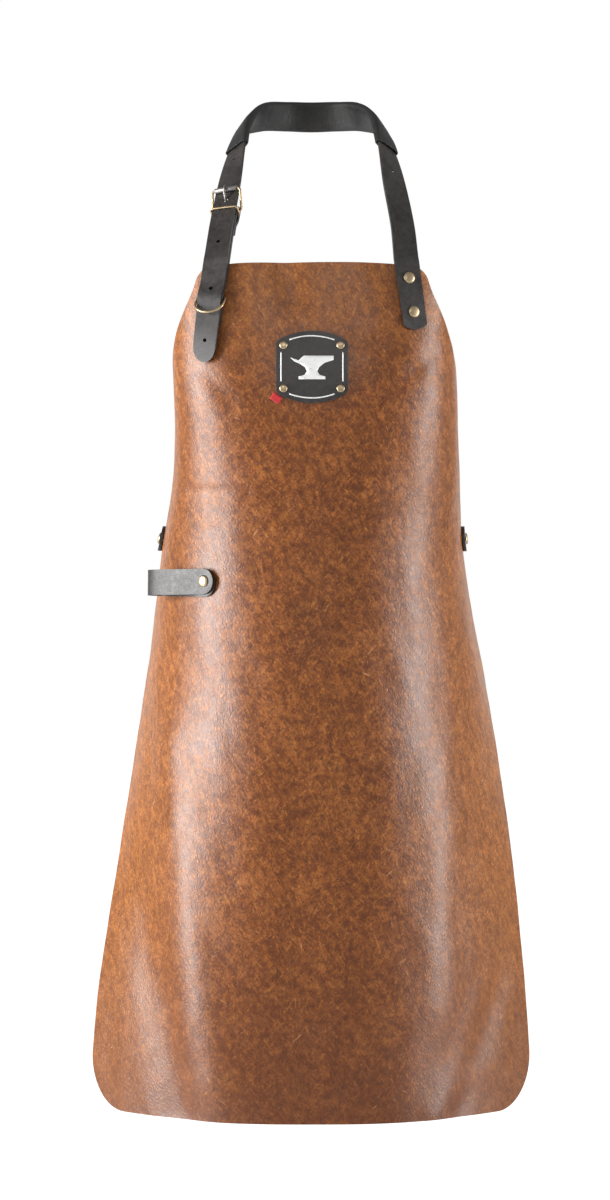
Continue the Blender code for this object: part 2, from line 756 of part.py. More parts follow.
    def fix_buckle_strap(self):
        """Rivet the short strap to the bib, and its fold to itself, with low heads."""
        low = (LOW_HEAD_WIDTH, LOW_HEAD_HEIGHT)
        stack = STRAP_WALL + CLEARANCE + SHEET_WALL
        lower = LEFT_UPPER_RIVET + RIVET_PITCH
        for label, t in (("upper", LEFT_UPPER_RIVET), ("lower", lower)):
            s = -strap_across(t)
            axis = sheet_normal(s, t)
            rise = free_end_rise(t) - LAYER_STEP + STRAP_WALL / 2
            self.rivet(f"strap_rivet_left_{label}", over_sheet(s, t, rise), axis, low,
                       stack + rise - ON_SHEET - STRAP_WALL / 2, [self.sheet, self.buckle_strap])
        at = self.prong_at + HEEL_REACH + 0.82 * FOLD_LAP
        axis = self.neck.frame(at)[3]
        seat = self.neck.place(at, 0, -LAYER_STEP + STRAP_WALL / 2)
        self.rivet("strap_rivet_fold", seat, axis, low, 2 * STRAP_WALL + CLEARANCE,
                   [self.buckle_strap])

    def make_buckle(self):
        """Make the wire frame, the roller on its top bar and the prong."""
        half = BUCKLE_WIDTH / 2
        radius = 1.2 * WIRE_WIDTH
        slope = (ROLLER_RISE - HEEL_RISE) / (HEEL_REACH + ROLLER_REACH)
        points = []
        for side_u, side_w, first in ((1, 1, 0), (-1, 1, 90), (-1, -1, 180), (1, -1, 270)):
            for angle in (0, 30, 60, 90):
                turn = math.radians(first + angle)
                u = side_u * (half - radius) + radius * math.cos(turn)
                far = HEEL_REACH if side_w > 0 else ROLLER_REACH
                w = side_w * (far - radius) + radius * math.sin(turn)
                n = HEEL_RISE + slope * (HEEL_REACH - w)
                points.append(self.neck.place(self.prong_at + w, u, n))
        wire("buckle_frame", points, WIRE_WIDTH, self.parts, BRASS, cyclic=True)
        self.make_roller()
        self.make_prong()

    def make_roller(self):
        """Make the steel tube that turns on the frame's top bar."""
        outer = ROLLER_WIDTH / 2
        inner = WIRE_WIDTH / 2 + CLEARANCE
        inner = min(inner, outer - ROLLER_WALL)
        half = ROLLER_LENGTH / 2
        profile = [(outer, half), (outer, -half), (inner, -half), (inner, half)]
        _, _, across, _ = self.neck.frame(self.prong_at - ROLLER_REACH)
        seat = self.neck.place(self.prong_at - ROLLER_REACH, 0, ROLLER_RISE)
        turned("buckle_roller", profile, ROLLER_SIDES, seat, across, self.parts, STEEL, closed=True)

    def make_prong(self):
        """Make the prong: an eye round the heel bar, up through the hole and over the roller."""
        eye = WIRE_WIDTH / 2 + CLEARANCE + PRONG_WIDTH / 2
        touch = STRAP_WALL / 2 + CLEARANCE + PRONG_WIDTH / 2
        over = ROLLER_RISE + ROLLER_WIDTH / 2 + CLEARANCE + PRONG_WIDTH / 2
        steps = 9
        start, stop = math.radians(-140), math.radians(110)
        route = []
        for i in range(steps + 1):
            turn = start + (stop - start) * i / steps
            route.append((HEEL_REACH + eye * math.cos(turn), HEEL_RISE + eye * math.sin(turn)))
        route += [
            (0.26 * HEEL_REACH, -1.12 * touch),
            (0.08 * HEEL_REACH, -0.72 * touch),
            (0.01 * HEEL_REACH, -0.20 * touch),
            (-0.03 * ROLLER_REACH, 0.42 * touch),
            (-0.12 * ROLLER_REACH, 1.05 * touch),
            (-0.80 * ROLLER_REACH, 0.98 * over),
            (-1.00 * ROLLER_REACH, 1.01 * over),
            (-1.25 * ROLLER_REACH, 0.96 * over),
            (-1.36 * ROLLER_REACH, 0.86 * over),
        ]
        points = [self.neck.place(self.prong_at + w, 0, n) for w, n in route]
        wire("buckle_prong", points, PRONG_WIDTH, self.parts, STEEL)

    def make_keeper(self):
        """Make the wire loop held in the fold, with its front bar over the strap."""
        half = KEEPER_WIDTH / 2
        back = (HEEL_REACH + KEEPER_REACH, HEEL_RISE)
        rise = STRAP_WALL / 2 + CLEARANCE + KEEPER_WIRE_WIDTH / 2
        front = (HEEL_REACH + 0.2 * KEEPER_REACH, rise)
        round_share = 0.16
        points = []
        for side, ends in ((1, (back, front)), (-1, (front, back))):
            for share in (0, round_share, 1 - round_share, 1):
                w = ends[0][0] + (ends[1][0] - ends[0][0]) * share
                n = ends[0][1] + (ends[1][1] - ends[0][1]) * share
                inset = KEEPER_CORNER if share in (0, 1) else 0
                points.append(self.neck.place(self.prong_at + w, side * (half - inset), n))
        wire("keeper_wire", points, KEEPER_WIRE_WIDTH, self.parts, BRASS, cyclic=True)

    def make_ring(self):
        """Make the D ring: its bar under the short strap, its bow in front of the free end."""
        top = over_sheet(-strap_across(RING_DROP), RING_DROP, free_end_rise(RING_DROP))
        centre, along, across, out = self.neck.frame(self.neck.nearest(top))
        lean = along * math.cos(RING_LEAN) + out * math.sin(RING_LEAN)
        seat = centre + out * HEEL_RISE
        half = RING_WIDTH / 2
        outline = [(-half, 0.0), (half, 0.0)]
        bow = 10
        for i in range(bow + 1):
            turn = math.pi * i / bow
            depth = RING_SHOULDER + (RING_DEPTH - RING_SHOULDER) * math.sin(turn)
            outline.append((half * math.cos(turn), depth))
        points = [seat + across * u + lean * d for u, d in outline]
        wire("d_ring", points, WIRE_WIDTH, self.parts, BRASS, cyclic=True)

    def make_badge(self):
        """Make the badge plate with bowed top and bottom, and its four rivets."""
        columns, rows = 12, 4
        half = BADGE_WIDTH / 2

        def edge(s):
            bow = (BADGE_HEIGHT - BADGE_SIDE) / 2 * (1 - (s / half) ** 2)
            return BADGE_SIDE / 2 + bow - corner_cut(half - abs(s), BADGE_CORNER)

        inner = 1 - BADGE_CORNER / half
        shares = [-1, -1 + 0.3 * (1 - inner)]
        shares += [inner * (2 * i / (columns - 4) - 1) for i in range(columns - 3)]
        shares += [-shares[1], 1]
        rise = SHEET_WALL / 2 + CLEARANCE + BADGE_WALL / 2

        def corner(i, j):
            s = half * shares[i]
            return over_sheet(s, BADGE_DROP + edge(s) * (2 * j / rows - 1), rise)

        badge = mapped_grid("badge", len(shares) - 1, rows, corner, BADGE_WALL, self.parts,
                            BLACK_LEATHER)
        stack = BADGE_WALL + CLEARANCE + SHEET_WALL
        for row, down in (("upper", -1), ("lower", 1)):
            for side, across in (("left", -1), ("right", 1)):
                s = across * BADGE_RIVET_ACROSS / 2
                t = BADGE_DROP + down * BADGE_RIVET_DOWN / 2
                seat = over_sheet(s, t, rise + BADGE_WALL / 2)
                self.rivet(f"badge_rivet_{row}_{side}", seat, sheet_normal(s, t),
                           (BADGE_CAP_WIDTH, BADGE_CAP_HEIGHT), stack, [self.sheet, badge])

    def make_tab(self):
        """Make the folded ribbon at the badge's lower left corner."""
        down = Vector((-math.sin(TAB_TURN), math.cos(TAB_TURN)))
        across = Vector((math.cos(TAB_TURN), math.sin(TAB_TURN)))
        corner_place = Vector((-BADGE_WIDTH / 2, BADGE_DROP + BADGE_SIDE / 2))
        root = corner_place + across * (0.3 * TAB_WIDTH) + down * (2 * CLEARANCE)
        rise = SHEET_WALL / 2 + CLEARANCE + TAB_WALL / 2

        def corner(i, j):
            at = root + across * (TAB_WIDTH * (i / 2 - 0.5)) + down * (TAB_LENGTH * j / 3)
            return over_sheet(at.x, at.y, rise)

        mapped_grid("red_tab", 2, 3, corner, TAB_WALL, self.parts, RED_RIBBON)

    def make_side_loop(self):
        """Make the folded loop on the left side and its rivet."""
        out = sheet_normal(-LOOP_ACROSS, LOOP_DROP)
        away = out.cross(Vector((0, 0, 1))).normalized()
        origin = sheet_point(-LOOP_ACROSS, LOOP_DROP)
        up = away.cross(out)
        layer = STRAP_WALL + CLEARANCE

        def leg(row):
            reach, rise = row.reach * LOOP_REACH, ON_SHEET + row.layer * layer + row.gape * LOOP_GAPE
            return reach, rise

        stops = [(-LOOP_END, ON_SHEET + layer)] + [leg(row) for row in LOOP_ROUTE]
        stops.append((-LOOP_END, ON_SHEET))
        centres = [origin + away * reach + out * rise for reach, rise in stops]
        count = len(centres) - 1
        centres = [c - up * (LOOP_SKEW * i / count) for i, c in enumerate(centres)]
        chords = [(centres[min(i + 1, count)] - centres[max(i - 1, 0)]) for i in range(count + 1)]
        path = Path(centres, [up.cross(chord).normalized() for chord in chords])
        rows = strap_rows(0, path.length, LOOP_STEP, True, True)
        loop = strap("side_loop", rows, lambda v, u: path.place(v, u, 0), self.parts, BLACK_LEATHER)
        seat = origin + out * (ON_SHEET + layer + STRAP_WALL / 2)
        self.rivet("side_loop_rivet", seat, out, (CAP_WIDTH, CAP_HEIGHT),
                   2 * STRAP_WALL + 2 * CLEARANCE + SHEET_WALL, [self.sheet, loop])

    def belt_path(self, side):
        """Path of one half of the belt, from its riveted tip to the middle of the back."""
        edge_s = half_width(BELT_DROP)
        edge = over_sheet(side * edge_s, BELT_DROP, BELT_RISE)
        centres, normals = [], []
        lap_rows = 8
        for i in range(lap_rows + 1):
            s = side * (BELT_TIP + (edge_s - BELT_TIP) * i / lap_rows)
            centres.append(over_sheet(s, BELT_DROP, BELT_RISE))
            normals.append(sheet_normal(s, BELT_DROP))
        for row in BELT_ROUTE:
            y = edge.y + (BELT_BACK - edge.y) * row.back
            centres.append(Vector((edge.x * row.side, y, edge.z)))
        centres.append(Vector((side * BELT_GAP / 2, BELT_BACK, edge.z)))
        for i in range(lap_rows + 1, len(centres)):
            chord = centres[min(i + 1, len(centres) - 1)] - centres[i - 1]
            normals.append(Vector((chord.y * side, -chord.x * side, 0)).normalized())
        return Path(centres, normals)

    def make_belt(self):
        """Make both halves of the waist belt, their rivets and the clasp."""
        for label, side in (("left", -1), ("right", 1)):
            path = self.belt_path(side)
            rows = strap_rows(0, path.length, STRAP_STEP, True, False)
            belt = strap(f"waist_strap_{label}", rows, lambda v, u, p=path: p.place(v, u, 0),
                         self.parts, BLACK_LEATHER)
            s = side * (BELT_TIP + BELT_RIVET)
            seat = over_sheet(s, BELT_DROP, BELT_RISE + STRAP_WALL / 2)
            self.rivet(f"waist_rivet_{label}", seat, sheet_normal(s, BELT_DROP),
                       (CAP_WIDTH, CAP_HEIGHT), STRAP_WALL + BELT_CLEARANCE + SHEET_WALL,
                       [self.sheet, belt])
        self.make_clasp(path.place(path.length, 0, 0).z)

    def make_clasp(self, z):
        """Make the plain clasp over the belt's two ends."""
        sizes = (CLASP_LENGTH, CLASP_DEPTH, CLASP_HEIGHT)
        bpy.ops.mesh.primitive_cube_add(size=1)
        clasp = bpy.context.object
        clasp.name = clasp.data.name = "waist_clasp"
        clasp.data.transform(Matrix.Diagonal((*sizes, 1)))
        clasp.location = (0, BELT_BACK, z)
        move_to(clasp, self.parts)
        bevel = clasp.modifiers.new("Round", "BEVEL")
        bevel.width = 0.2 * CLASP_DEPTH
        bevel.segments = 2
        spare = 2 * CLASP_CLEARANCE
        bpy.ops.mesh.primitive_cube_add(size=1, location=(0, BELT_BACK, z))
        slot = bpy.context.object
        slot.data.transform(Matrix.Diagonal((2 * CLASP_LENGTH, STRAP_WALL + spare, STRAP_WIDTH + spare, 1)))
        cut_with(clasp, slot, self.cutters)
        dress(clasp, BRASS)


def main():
    """Build the apron."""
    clear_scene()
    apron = Apron()
    apron.make_sheet()
    apron.make_neck_strap()
    apron.make_sleeve()
    apron.make_neck_rivets()
    apron.make_buckle_strap()
    apron.make_buckle()
    apron.make_keeper()
    apron.make_ring()
    apron.make_badge()
    apron.make_tab()
    apron.make_side_loop()
    apron.make_belt()


main()
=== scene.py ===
"""Looks of a leather blacksmith apron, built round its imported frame.

Units are metres, +Z is up, the front faces -Y and the origin is the nape.
Places on the sheet are given as s, the distance across from its centre line along
the leather, and t, the distance down from its top edge.
"""
import logging
import math
from collections.abc import Callable, Sequence
from dataclasses import dataclass, field
from enum import Enum
from typing import NamedTuple

import bmesh
import bpy
import numpy as np
from mathutils import Matrix, Vector


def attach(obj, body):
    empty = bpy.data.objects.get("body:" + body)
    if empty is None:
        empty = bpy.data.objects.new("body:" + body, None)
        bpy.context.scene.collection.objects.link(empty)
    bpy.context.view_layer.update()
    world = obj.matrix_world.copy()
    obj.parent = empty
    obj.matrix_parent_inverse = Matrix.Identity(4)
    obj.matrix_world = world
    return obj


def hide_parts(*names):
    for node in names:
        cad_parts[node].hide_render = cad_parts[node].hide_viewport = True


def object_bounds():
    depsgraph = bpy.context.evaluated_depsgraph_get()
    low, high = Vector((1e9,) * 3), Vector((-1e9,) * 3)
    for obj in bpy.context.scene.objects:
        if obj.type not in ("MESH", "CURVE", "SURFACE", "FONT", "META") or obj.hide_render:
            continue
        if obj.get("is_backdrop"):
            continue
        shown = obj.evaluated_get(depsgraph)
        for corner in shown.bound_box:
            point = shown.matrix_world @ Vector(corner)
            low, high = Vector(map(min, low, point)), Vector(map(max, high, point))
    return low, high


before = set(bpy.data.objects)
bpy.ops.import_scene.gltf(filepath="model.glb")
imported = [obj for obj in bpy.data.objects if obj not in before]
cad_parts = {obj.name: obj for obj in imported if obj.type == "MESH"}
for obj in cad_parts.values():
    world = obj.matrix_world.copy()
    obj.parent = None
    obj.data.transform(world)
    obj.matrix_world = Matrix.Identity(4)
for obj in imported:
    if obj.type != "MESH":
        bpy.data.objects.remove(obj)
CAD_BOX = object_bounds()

log = logging.getLogger("apron")

Array = np.ndarray
Colour = tuple[float, float, float]
Place = Callable[[Array, Array], Array]
Obj = bpy.types.Object
Socket = bpy.types.NodeSocket

# Spacing of the stations of a path, and the step that normals are measured over.
STATION = 0.002
# Air between pieces that lie on each other.
CLEARANCE = 0.0003
# Steps of the sum that gives the sheet's flat area.
AREA_STEPS = 800
# Distance of a strap's middle from the bib's corner, and its slant down the bib.
STRAP_INSET = 0.0205
STRAP_SPLAY = math.tan(math.radians(8))
# Degrees round a strap's tip and round a badge's corner, close together where they turn most.
TIP_TURNS = (5, 11, 18, 27, 38, 51, 68)
CORNER_TURNS = (10, 22, 36, 52, 70)
# Corners of a mesh that are nearer than this are one.
TOUCH = 1e-6
SHARP_EDGE = math.radians(40)
CUTTER_SIDES = 24
WIRE_ROUNDNESS = 5
WHITE = (1.0, 1.0, 1.0, 1.0)


class Slot(Enum):
    """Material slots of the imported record."""

    BROWN = "brown_leather"
    BLACK = "black_leather"
    SOFT = "soft_leather"
    BRASS = "brass"
    STEEL = "steel"
    RIBBON = "red_ribbon"


class Side(Enum):
    """Sides of the apron as the viewer sees them."""

    LEFT = -1
    RIGHT = 1


class Section(NamedTuple):
    """One level of the worn sheet.

    drop is 0 at the top edge, 1 at the waist and 2 at the hem. front is a share of the chest's
    depth. left and right are the degrees that the leather has turned at the turn's reach.
    """

    drop: float
    front: float
    left: float
    right: float
    power: float
    flatten: float


SECTIONS = (
    Section(0.00, 0.908, 122, 110, 2.5, 0.0),
    Section(0.18, 0.962, 121, 117, 2.4, 0.0),
    Section(0.46, 1.022, 112, 101, 2.0, 0.0),
    Section(0.71, 1.011, 95, 85, 1.5, 0.0),
    Section(1.00, 1.000, 76, 75, 1.1, 0.0),
    Section(1.24, 1.027, 67, 64, 1.1, 0.3),
    Section(1.55, 1.049, 58, 55, 1.8, 2.0),
    Section(1.80, 1.065, 50, 50, 2.2, 4.0),
    Section(2.00, 1.065, 47, 48, 2.5, 6.0),
)


class Armhole(NamedTuple):
    """Side edge of the bib: spread is 0 at the top's width and 1 at the waist's."""

    drop: float
    spread: float


ARMHOLE = (
    Armhole(0.00, 0.000),
    Armhole(0.09, 0.065),
    Armhole(0.25, 0.250),
    Armhole(0.41, 0.455),
    Armhole(0.64, 0.727),
    Armhole(0.89, 0.948),
    Armhole(1.00, 1.000),
)


class Fold(NamedTuple):
    """A fold or dent: places across are shares of half the waist's width, left is negative.

    breadth is such a share too, and height is a share of the chest's depth.
    """

    across_a: float
    drop_a: float
    across_b: float
    drop_b: float
    breadth: float
    height: float


FOLDS = (
    Fold(-0.11, 0.00, -0.09, 0.12, 0.075, -0.012),
    Fold(0.06, 0.00, 0.05, 0.14, 0.100, 0.007),
    Fold(-0.22, 0.00, -0.21, 0.10, 0.080, 0.006),
    Fold(-0.62, 1.36, -0.40, 1.93, 0.130, 0.030),
    Fold(-0.76, 1.66, -0.52, 1.98, 0.110, -0.024),
    Fold(0.56, 1.40, 0.50, 1.80, 0.130, 0.016),
    Fold(0.62, 1.97, 0.86, 1.78, 0.070, -0.014),
    Fold(0.48, 1.99, 0.70, 1.92, 0.060, 0.010),
    Fold(0.02, 1.86, 0.00, 1.96, 0.045, -0.007),
)

# Narrow creases that only the finished leather shows.
CREASES = (
    Fold(-0.52, 0.815, -0.24, 0.825, 0.014, -0.0055),
    Fold(-0.24, 0.825, -0.05, 0.835, 0.014, -0.0028),
    Fold(-0.10, 0.02, -0.03, 0.24, 0.050, -0.0085),
    Fold(0.17, 0.00, 0.25, 0.20, 0.055, 0.0070),
    Fold(-0.27, 0.02, -0.24, 0.22, 0.050, 0.0060),
    Fold(-0.01, 1.86, -0.03, 1.925, 0.009, -0.0040),
    Fold(0.16, 0.27, 0.40, 0.38, 0.026, -0.0050),
    Fold(0.30, 0.46, 0.48, 0.32, 0.028, -0.0050),
    Fold(-0.46, 0.36, -0.30, 0.50, 0.028, -0.0045),
    Fold(0.52, 1.90, 0.80, 1.70, 0.045, -0.0020),
)


class RoutePoint(NamedTuple):
    """One stop of the neck strap: shares of the neck's drop, the spread and the chest's depth.

    facing is degrees from the front towards the side, rise is degrees above level.
    """

    drop: float
    spread: float
    depth: float
    facing: float
    rise: float


NECK_ROUTE = (
    RoutePoint(0.775, 0.960, 0.790, 24, 14),
    RoutePoint(0.521, 0.885, 0.660, 32, 32),
    RoutePoint(0.267, 0.806, 0.496, 60, 33),
    RoutePoint(0.097, 0.720, 0.328, 85, 35),
    RoutePoint(0.018, 0.522, 0.150, 128, 28),
    RoutePoint(0.000, 0.271, 0.032, 155, 22),
)
NAPE = RoutePoint(0.000, 0.000, 0.000, 180, 18)


class LoopPoint(NamedTuple):
    """One stop of the side loop: shares of its reach and gape, and its layer, 1 for the outer leg."""

    reach: float
    gape: float
    layer: float


LOOP_ROUTE = (
    LoopPoint(0.00, 0.00, 1.0),
    LoopPoint(0.16, 0.00, 1.0),
    LoopPoint(0.50, 0.14, 1.0),
    LoopPoint(0.80, 0.16, 1.0),
    LoopPoint(0.95, -0.06, 1.0),
    LoopPoint(1.00, -0.50, 1.0),
    LoopPoint(0.94, -0.90, 0.7),
    LoopPoint(0.78, -0.98, 0.2),
    LoopPoint(0.48, -0.42, 0.0),
    LoopPoint(0.18, 0.00, 0.0),
    LoopPoint(0.00, 0.00, 0.0),
)


class BeltPoint(NamedTuple):
    """One stop of the belt: shares of the edge's distance from the middle and of the way back."""

    side: float
    back: float


BELT_ROUTE = (
    BeltPoint(0.925, 0.34),
    BeltPoint(0.770, 0.70),
    BeltPoint(0.510, 0.93),
    BeltPoint(0.250, 1.00),
    BeltPoint(0.120, 1.00),
)


def unit(vectors: Array) -> Array:
    """Return vectors scaled to length 1."""
    return vectors / np.linalg.norm(vectors, axis=-1, keepdims=True)


def smooth(places: Sequence[float], values: Sequence, at: Array) -> Array:
    """Read a smooth curve through pairs of place and value.

    Args:
        places: Rising places of the known values.
        values: One number or one row of numbers for each place.
        at: Places to read.

    Returns:
        A value or a row of values for each place read.
    """
    known, wanted = np.asarray(places, float), np.asarray(values, float)
    at = np.clip(np.asarray(at, float), known[0], known[-1])
    last = len(known) - 1
    k = np.clip(np.searchsorted(known, at, side="right") - 1, 0, last - 1)
    low = np.maximum(np.arange(last + 1) - 1, 0)
    high = np.minimum(np.arange(last + 1) + 1, last)
    run = known[high] - known[low]
    span = known[k + 1] - known[k]
    x = (at - known[k]) / span
    if wanted.ndim == 2:
        run, span, x = run[:, None], span[..., None], x[..., None]
    slopes = (wanted[high] - wanted[low]) / run
    ease = x * x * (3 - 2 * x)
    lead = x * (1 - x) ** 2 * span * slopes[k]
    trail = x * x * (x - 1) * span * slopes[k + 1]
    return wanted[k] * (1 - ease) + wanted[k + 1] * ease + lead + trail


def column(table: Sequence[NamedTuple], name: str) -> list[float]:
    """Return one column of a table of named tuples."""
    return [getattr(row, name) for row in table]


def corner_cut(distance: Array, radius: float) -> Array:
    """Return how far a round corner pulls in, at a distance from the edge that it ends on."""
    rest = radius - np.minimum(distance, radius)
    return radius - np.sqrt(np.maximum(radius * radius - rest * rest, 0))


@dataclass(frozen=True)
class SheetForm:
    """Worn form of the leather sheet."""

    wall: float = 0.0018
    top_width: float = 0.232
    waist_width: float = 0.540
    hem_width: float = 0.573
    bib: float = 0.280
    skirt: float = 0.582
    top_corner: float = 0.012
    hem_corner: float = 0.060
    edge_sag: float = 0.005
    neck_drop: float = 0.165
    depth: float = 0.185
    turn_reach_share: float = 0.37
    ripple: float = 0.00035
    steps: int = 24

    @property
    def length(self) -> float:
        """Length of the sheet from its top edge to its hem."""
        return self.bib + self.skirt

    def share(self, t: Array) -> Array:
        """Return the share of a drop: 0 at the top edge, 1 at the waist and 2 at the hem."""
        return np.minimum(t / self.bib, 1) + np.maximum(t - self.bib, 0) / self.skirt

    def drop(self, share: float) -> float:
        """Return the drop at a share, the inverse of share."""
        return min(share, 1) * self.bib + max(share - 1, 0) * self.skirt

    def half_width(self, t: Array) -> Array:
        """Return half of the width along the leather at a drop."""
        share = self.share(np.asarray(t, float))
        spread = smooth(column(ARMHOLE, "drop"), column(ARMHOLE, "spread"), np.minimum(share, 1))
        full = self.top_width + (self.waist_width - self.top_width) * spread
        full = full + (self.hem_width - self.waist_width) * np.maximum(share - 1, 0)
        top = corner_cut(t, self.top_corner)
        return full / 2 - top - corner_cut(self.length - t, self.hem_corner)

    def area(self) -> float:
        """Return the flat area of the cut."""
        drops = (np.arange(AREA_STEPS) + 0.5) * self.length / AREA_STEPS
        return float(2 * self.half_width(drops).mean() * self.length)

    def base(self, s: Array, t: Array) -> Array:
        """Return points on the sheet before its folds, with the turn summed along the leather."""
        s, t = np.broadcast_arrays(np.asarray(s, float), np.asarray(t, float))
        rows = [section[1:] for section in SECTIONS]
        front, left, right, power, flatten = np.moveaxis(
            smooth(column(SECTIONS, "drop"), rows, self.share(t)), -1, 0)
        turn = np.radians(np.where(s < 0, left, right))
        step = np.abs(s) / self.steps
        reach = self.turn_reach_share * self.waist_width
        x, y = np.zeros_like(s), np.zeros_like(s)
        for i in range(self.steps):
            share = ((i + 0.5) * step / reach) ** power
            angle = turn * share * (1 + flatten) / (1 + flatten * share)
            x = x + np.cos(angle) * step
            y = y + np.sin(angle) * step
        near = np.minimum(np.abs(s) / (self.top_width / 2), 1.1)
        sag = self.edge_sag * near**4 * np.maximum(0, 1 - 2 * t / self.bib) ** 2
        return np.stack([np.copysign(x, s), y - front * self.depth, -self.neck_drop - t - sag], -1)

    def relief(self, s: Array, t: Array) -> Array:
        """Return the height of folds, creases and the leather's slight ripple."""
        half = self.waist_width / 2
        total = np.zeros(np.broadcast(s, t).shape)
        for fold in FOLDS + CREASES:
            start = np.array([fold.across_a * half, self.drop(fold.drop_a)])
            line = np.array([fold.across_b * half, self.drop(fold.drop_b)]) - start
            dx, dy = s - start[0], t - start[1]
            along = np.clip((dx * line[0] + dy * line[1]) / line.dot(line), 0, 1)
            away = np.hypot(dx - line[0] * along, dy - line[1] * along) / (fold.breadth * half)
            total = total + fold.height * self.depth * np.exp(-away * away)
        long_wave = np.sin(s * 61 + 2.1 * np.sin(t * 23)) * np.sin(t * 31 + 1.7 * np.sin(s * 37))
        short_wave = np.sin(s * 143 + t * 57 + np.sin(t * 71)) * np.sin(t * 97 - s * 41)
        return total + self.ripple * (long_wave + 0.4 * short_wave)

    @staticmethod
    def square_to(place: Place, s: Array, t: Array) -> Array:
        """Return unit normals, out of the front, of a surface given by a function of s and t."""
        across = place(s + STATION, t) - place(s - STATION, t)
        down = place(s, t + STATION) - place(s, t - STATION)
        return unit(np.cross(down, across))

    def point(self, s: Array, t: Array) -> Array:
        """Return points on the middle of the folded sheet."""
        normal = self.square_to(self.base, s, t)
        return self.base(s, t) + normal * self.relief(s, t)[..., None]

    def normal(self, s: Array, t: Array) -> Array:
        """Return normals of the folded sheet, out of its front."""
        return self.square_to(self.point, s, t)

    def over(self, s: Array, t: Array, rise: Array) -> Array:
        """Return points at a height above the sheet's middle."""
        return self.point(s, t) + self.normal(s, t) * np.asarray(rise, float)[..., None]


FORM = SheetForm()


class Path:
    """Centre line of a strap with a frame at each station: along, across and out."""

    def __init__(self, centres: Array, normals: Array) -> None:
        """Join the centres smoothly.

        Args:
            centres: Stops of the centre line.
            normals: The way that the strap faces at each stop.
        """
        gaps = np.linalg.norm(np.diff(centres, axis=0), axis=1)
        places = np.concatenate([[0], np.cumsum(gaps)])
        count = max(8, round(places[-1] / STATION))
        ats = np.linspace(0, places[-1], count + 1)
        self.centres = smooth(places, centres, ats)
        hints = smooth(places, normals, ats)
        self.length = float(np.linalg.norm(np.diff(self.centres, axis=0), axis=1).sum())
        ahead = self.centres[np.minimum(np.arange(count + 1) + 1, count)]
        behind = self.centres[np.maximum(np.arange(count + 1) - 1, 0)]
        self.along = unit(ahead - behind)
        self.out = unit(hints - self.along * np.sum(hints * self.along, -1, keepdims=True))
        self.across = np.cross(self.along, self.out)

    def frame(self, v: Array) -> tuple[Array, Array, Array, Array]:
        """Return centre, along, across and out at distances along the path."""
        share = np.clip(np.asarray(v, float) / self.length, 0, 1) * (len(self.centres) - 1)
        i = np.minimum(share.astype(int), len(self.centres) - 2)
        mix = (share - i)[..., None]
        centre = self.centres[i] * (1 - mix) + self.centres[i + 1] * mix
        axes = [unit(a[i] * (1 - mix) + a[i + 1] * mix) for a in (self.along, self.across, self.out)]
        return centre, axes[0], axes[1], axes[2]

    def place(self, v: Array, u: Array, n: Array | float = 0.0) -> Array:
        """Return points at v along, u across and n out."""
        v, u, n = np.broadcast_arrays(*(np.asarray(a, float) for a in (v, u, n)))
        centre, along, across, out = self.frame(v)
        spare = v - np.clip(v, 0, self.length)
        return centre + along * spare[..., None] + across * u[..., None] + out * n[..., None]

    def nearest(self, point: Array) -> float:
        """Return the distance along the path of the place nearest to a point."""
        i = int(np.argmin(np.linalg.norm(self.centres - point, axis=1)))
        ahead = float(np.dot(point - self.centres[i], self.along[i]))
        return self.length * i / (len(self.centres) - 1) + ahead


def link_object(name: str, data: bpy.types.ID) -> Obj:
    """Make an object from its data and link it to the scene."""
    obj = bpy.data.objects.new(name, data)
    bpy.context.scene.collection.objects.link(obj)
    return obj


def mesh_object(name: str, bm: bmesh.types.BMesh) -> Obj:
    """Make a smooth-shaded object from a bmesh and free the bmesh."""
    mesh = bpy.data.meshes.new(name)
    bm.to_mesh(mesh)
    bm.free()
    mesh.shade_smooth()
    return link_object(name, mesh)


def mapped_grid(name: str, columns: int, rows: int, place: Place, pattern: Place | None = None,
                flip: bool = False, closed: bool = False) -> Obj:
    """Make a surface from a grid whose corner i, j goes to place(i, j).

    Args:
        name: Name of the object.
        columns: Cells across.
        rows: Cells along.
        place: Points for arrays of i and j.
        pattern: Flat places in metres for arrays of i and j, kept as the UV map.
        flip: Turn the faces of an open surface over.
        closed: Join the first and last column, with the faces outwards.

    Returns:
        The new object.
    """
    bm = bmesh.new()
    uv = bm.loops.layers.uv.new("UVMap")
    bmesh.ops.create_grid(bm, x_segments=columns, y_segments=rows, size=1)
    bm.verts.index_update()
    spots = np.array([vert.co[:2] for vert in bm.verts])
    i = np.round((spots[:, 0] + 1) / 2 * columns).astype(int)
    j = np.round((spots[:, 1] + 1) / 2 * rows).astype(int)
    points = place(i, j)
    flat = pattern(i, j) if pattern else np.stack([i, j], -1) * STATION
    for vert, point in zip(bm.verts, points):
        vert.co = point
    for face in bm.faces:
        for loop in face.loops:
            loop[uv].uv = flat[loop.vert.index]
    if closed:
        bmesh.ops.remove_doubles(bm, verts=bm.verts, dist=TOUCH)
        bmesh.ops.recalc_face_normals(bm, faces=bm.faces)
    elif flip:
        bmesh.ops.reverse_faces(bm, faces=bm.faces)
    return mesh_object(name, bm)


def add_wall(obj: Obj, wall: float, layers: bool = False) -> None:
    """Give a surface its thickness; with layers, the back and the rim take material slots 1 and 2."""
    solid = obj.modifiers.new("Wall", "SOLIDIFY")
    solid.thickness = wall
    solid.offset = 0
    if layers:
        solid.material_offset = 1
        solid.material_offset_rim = 2


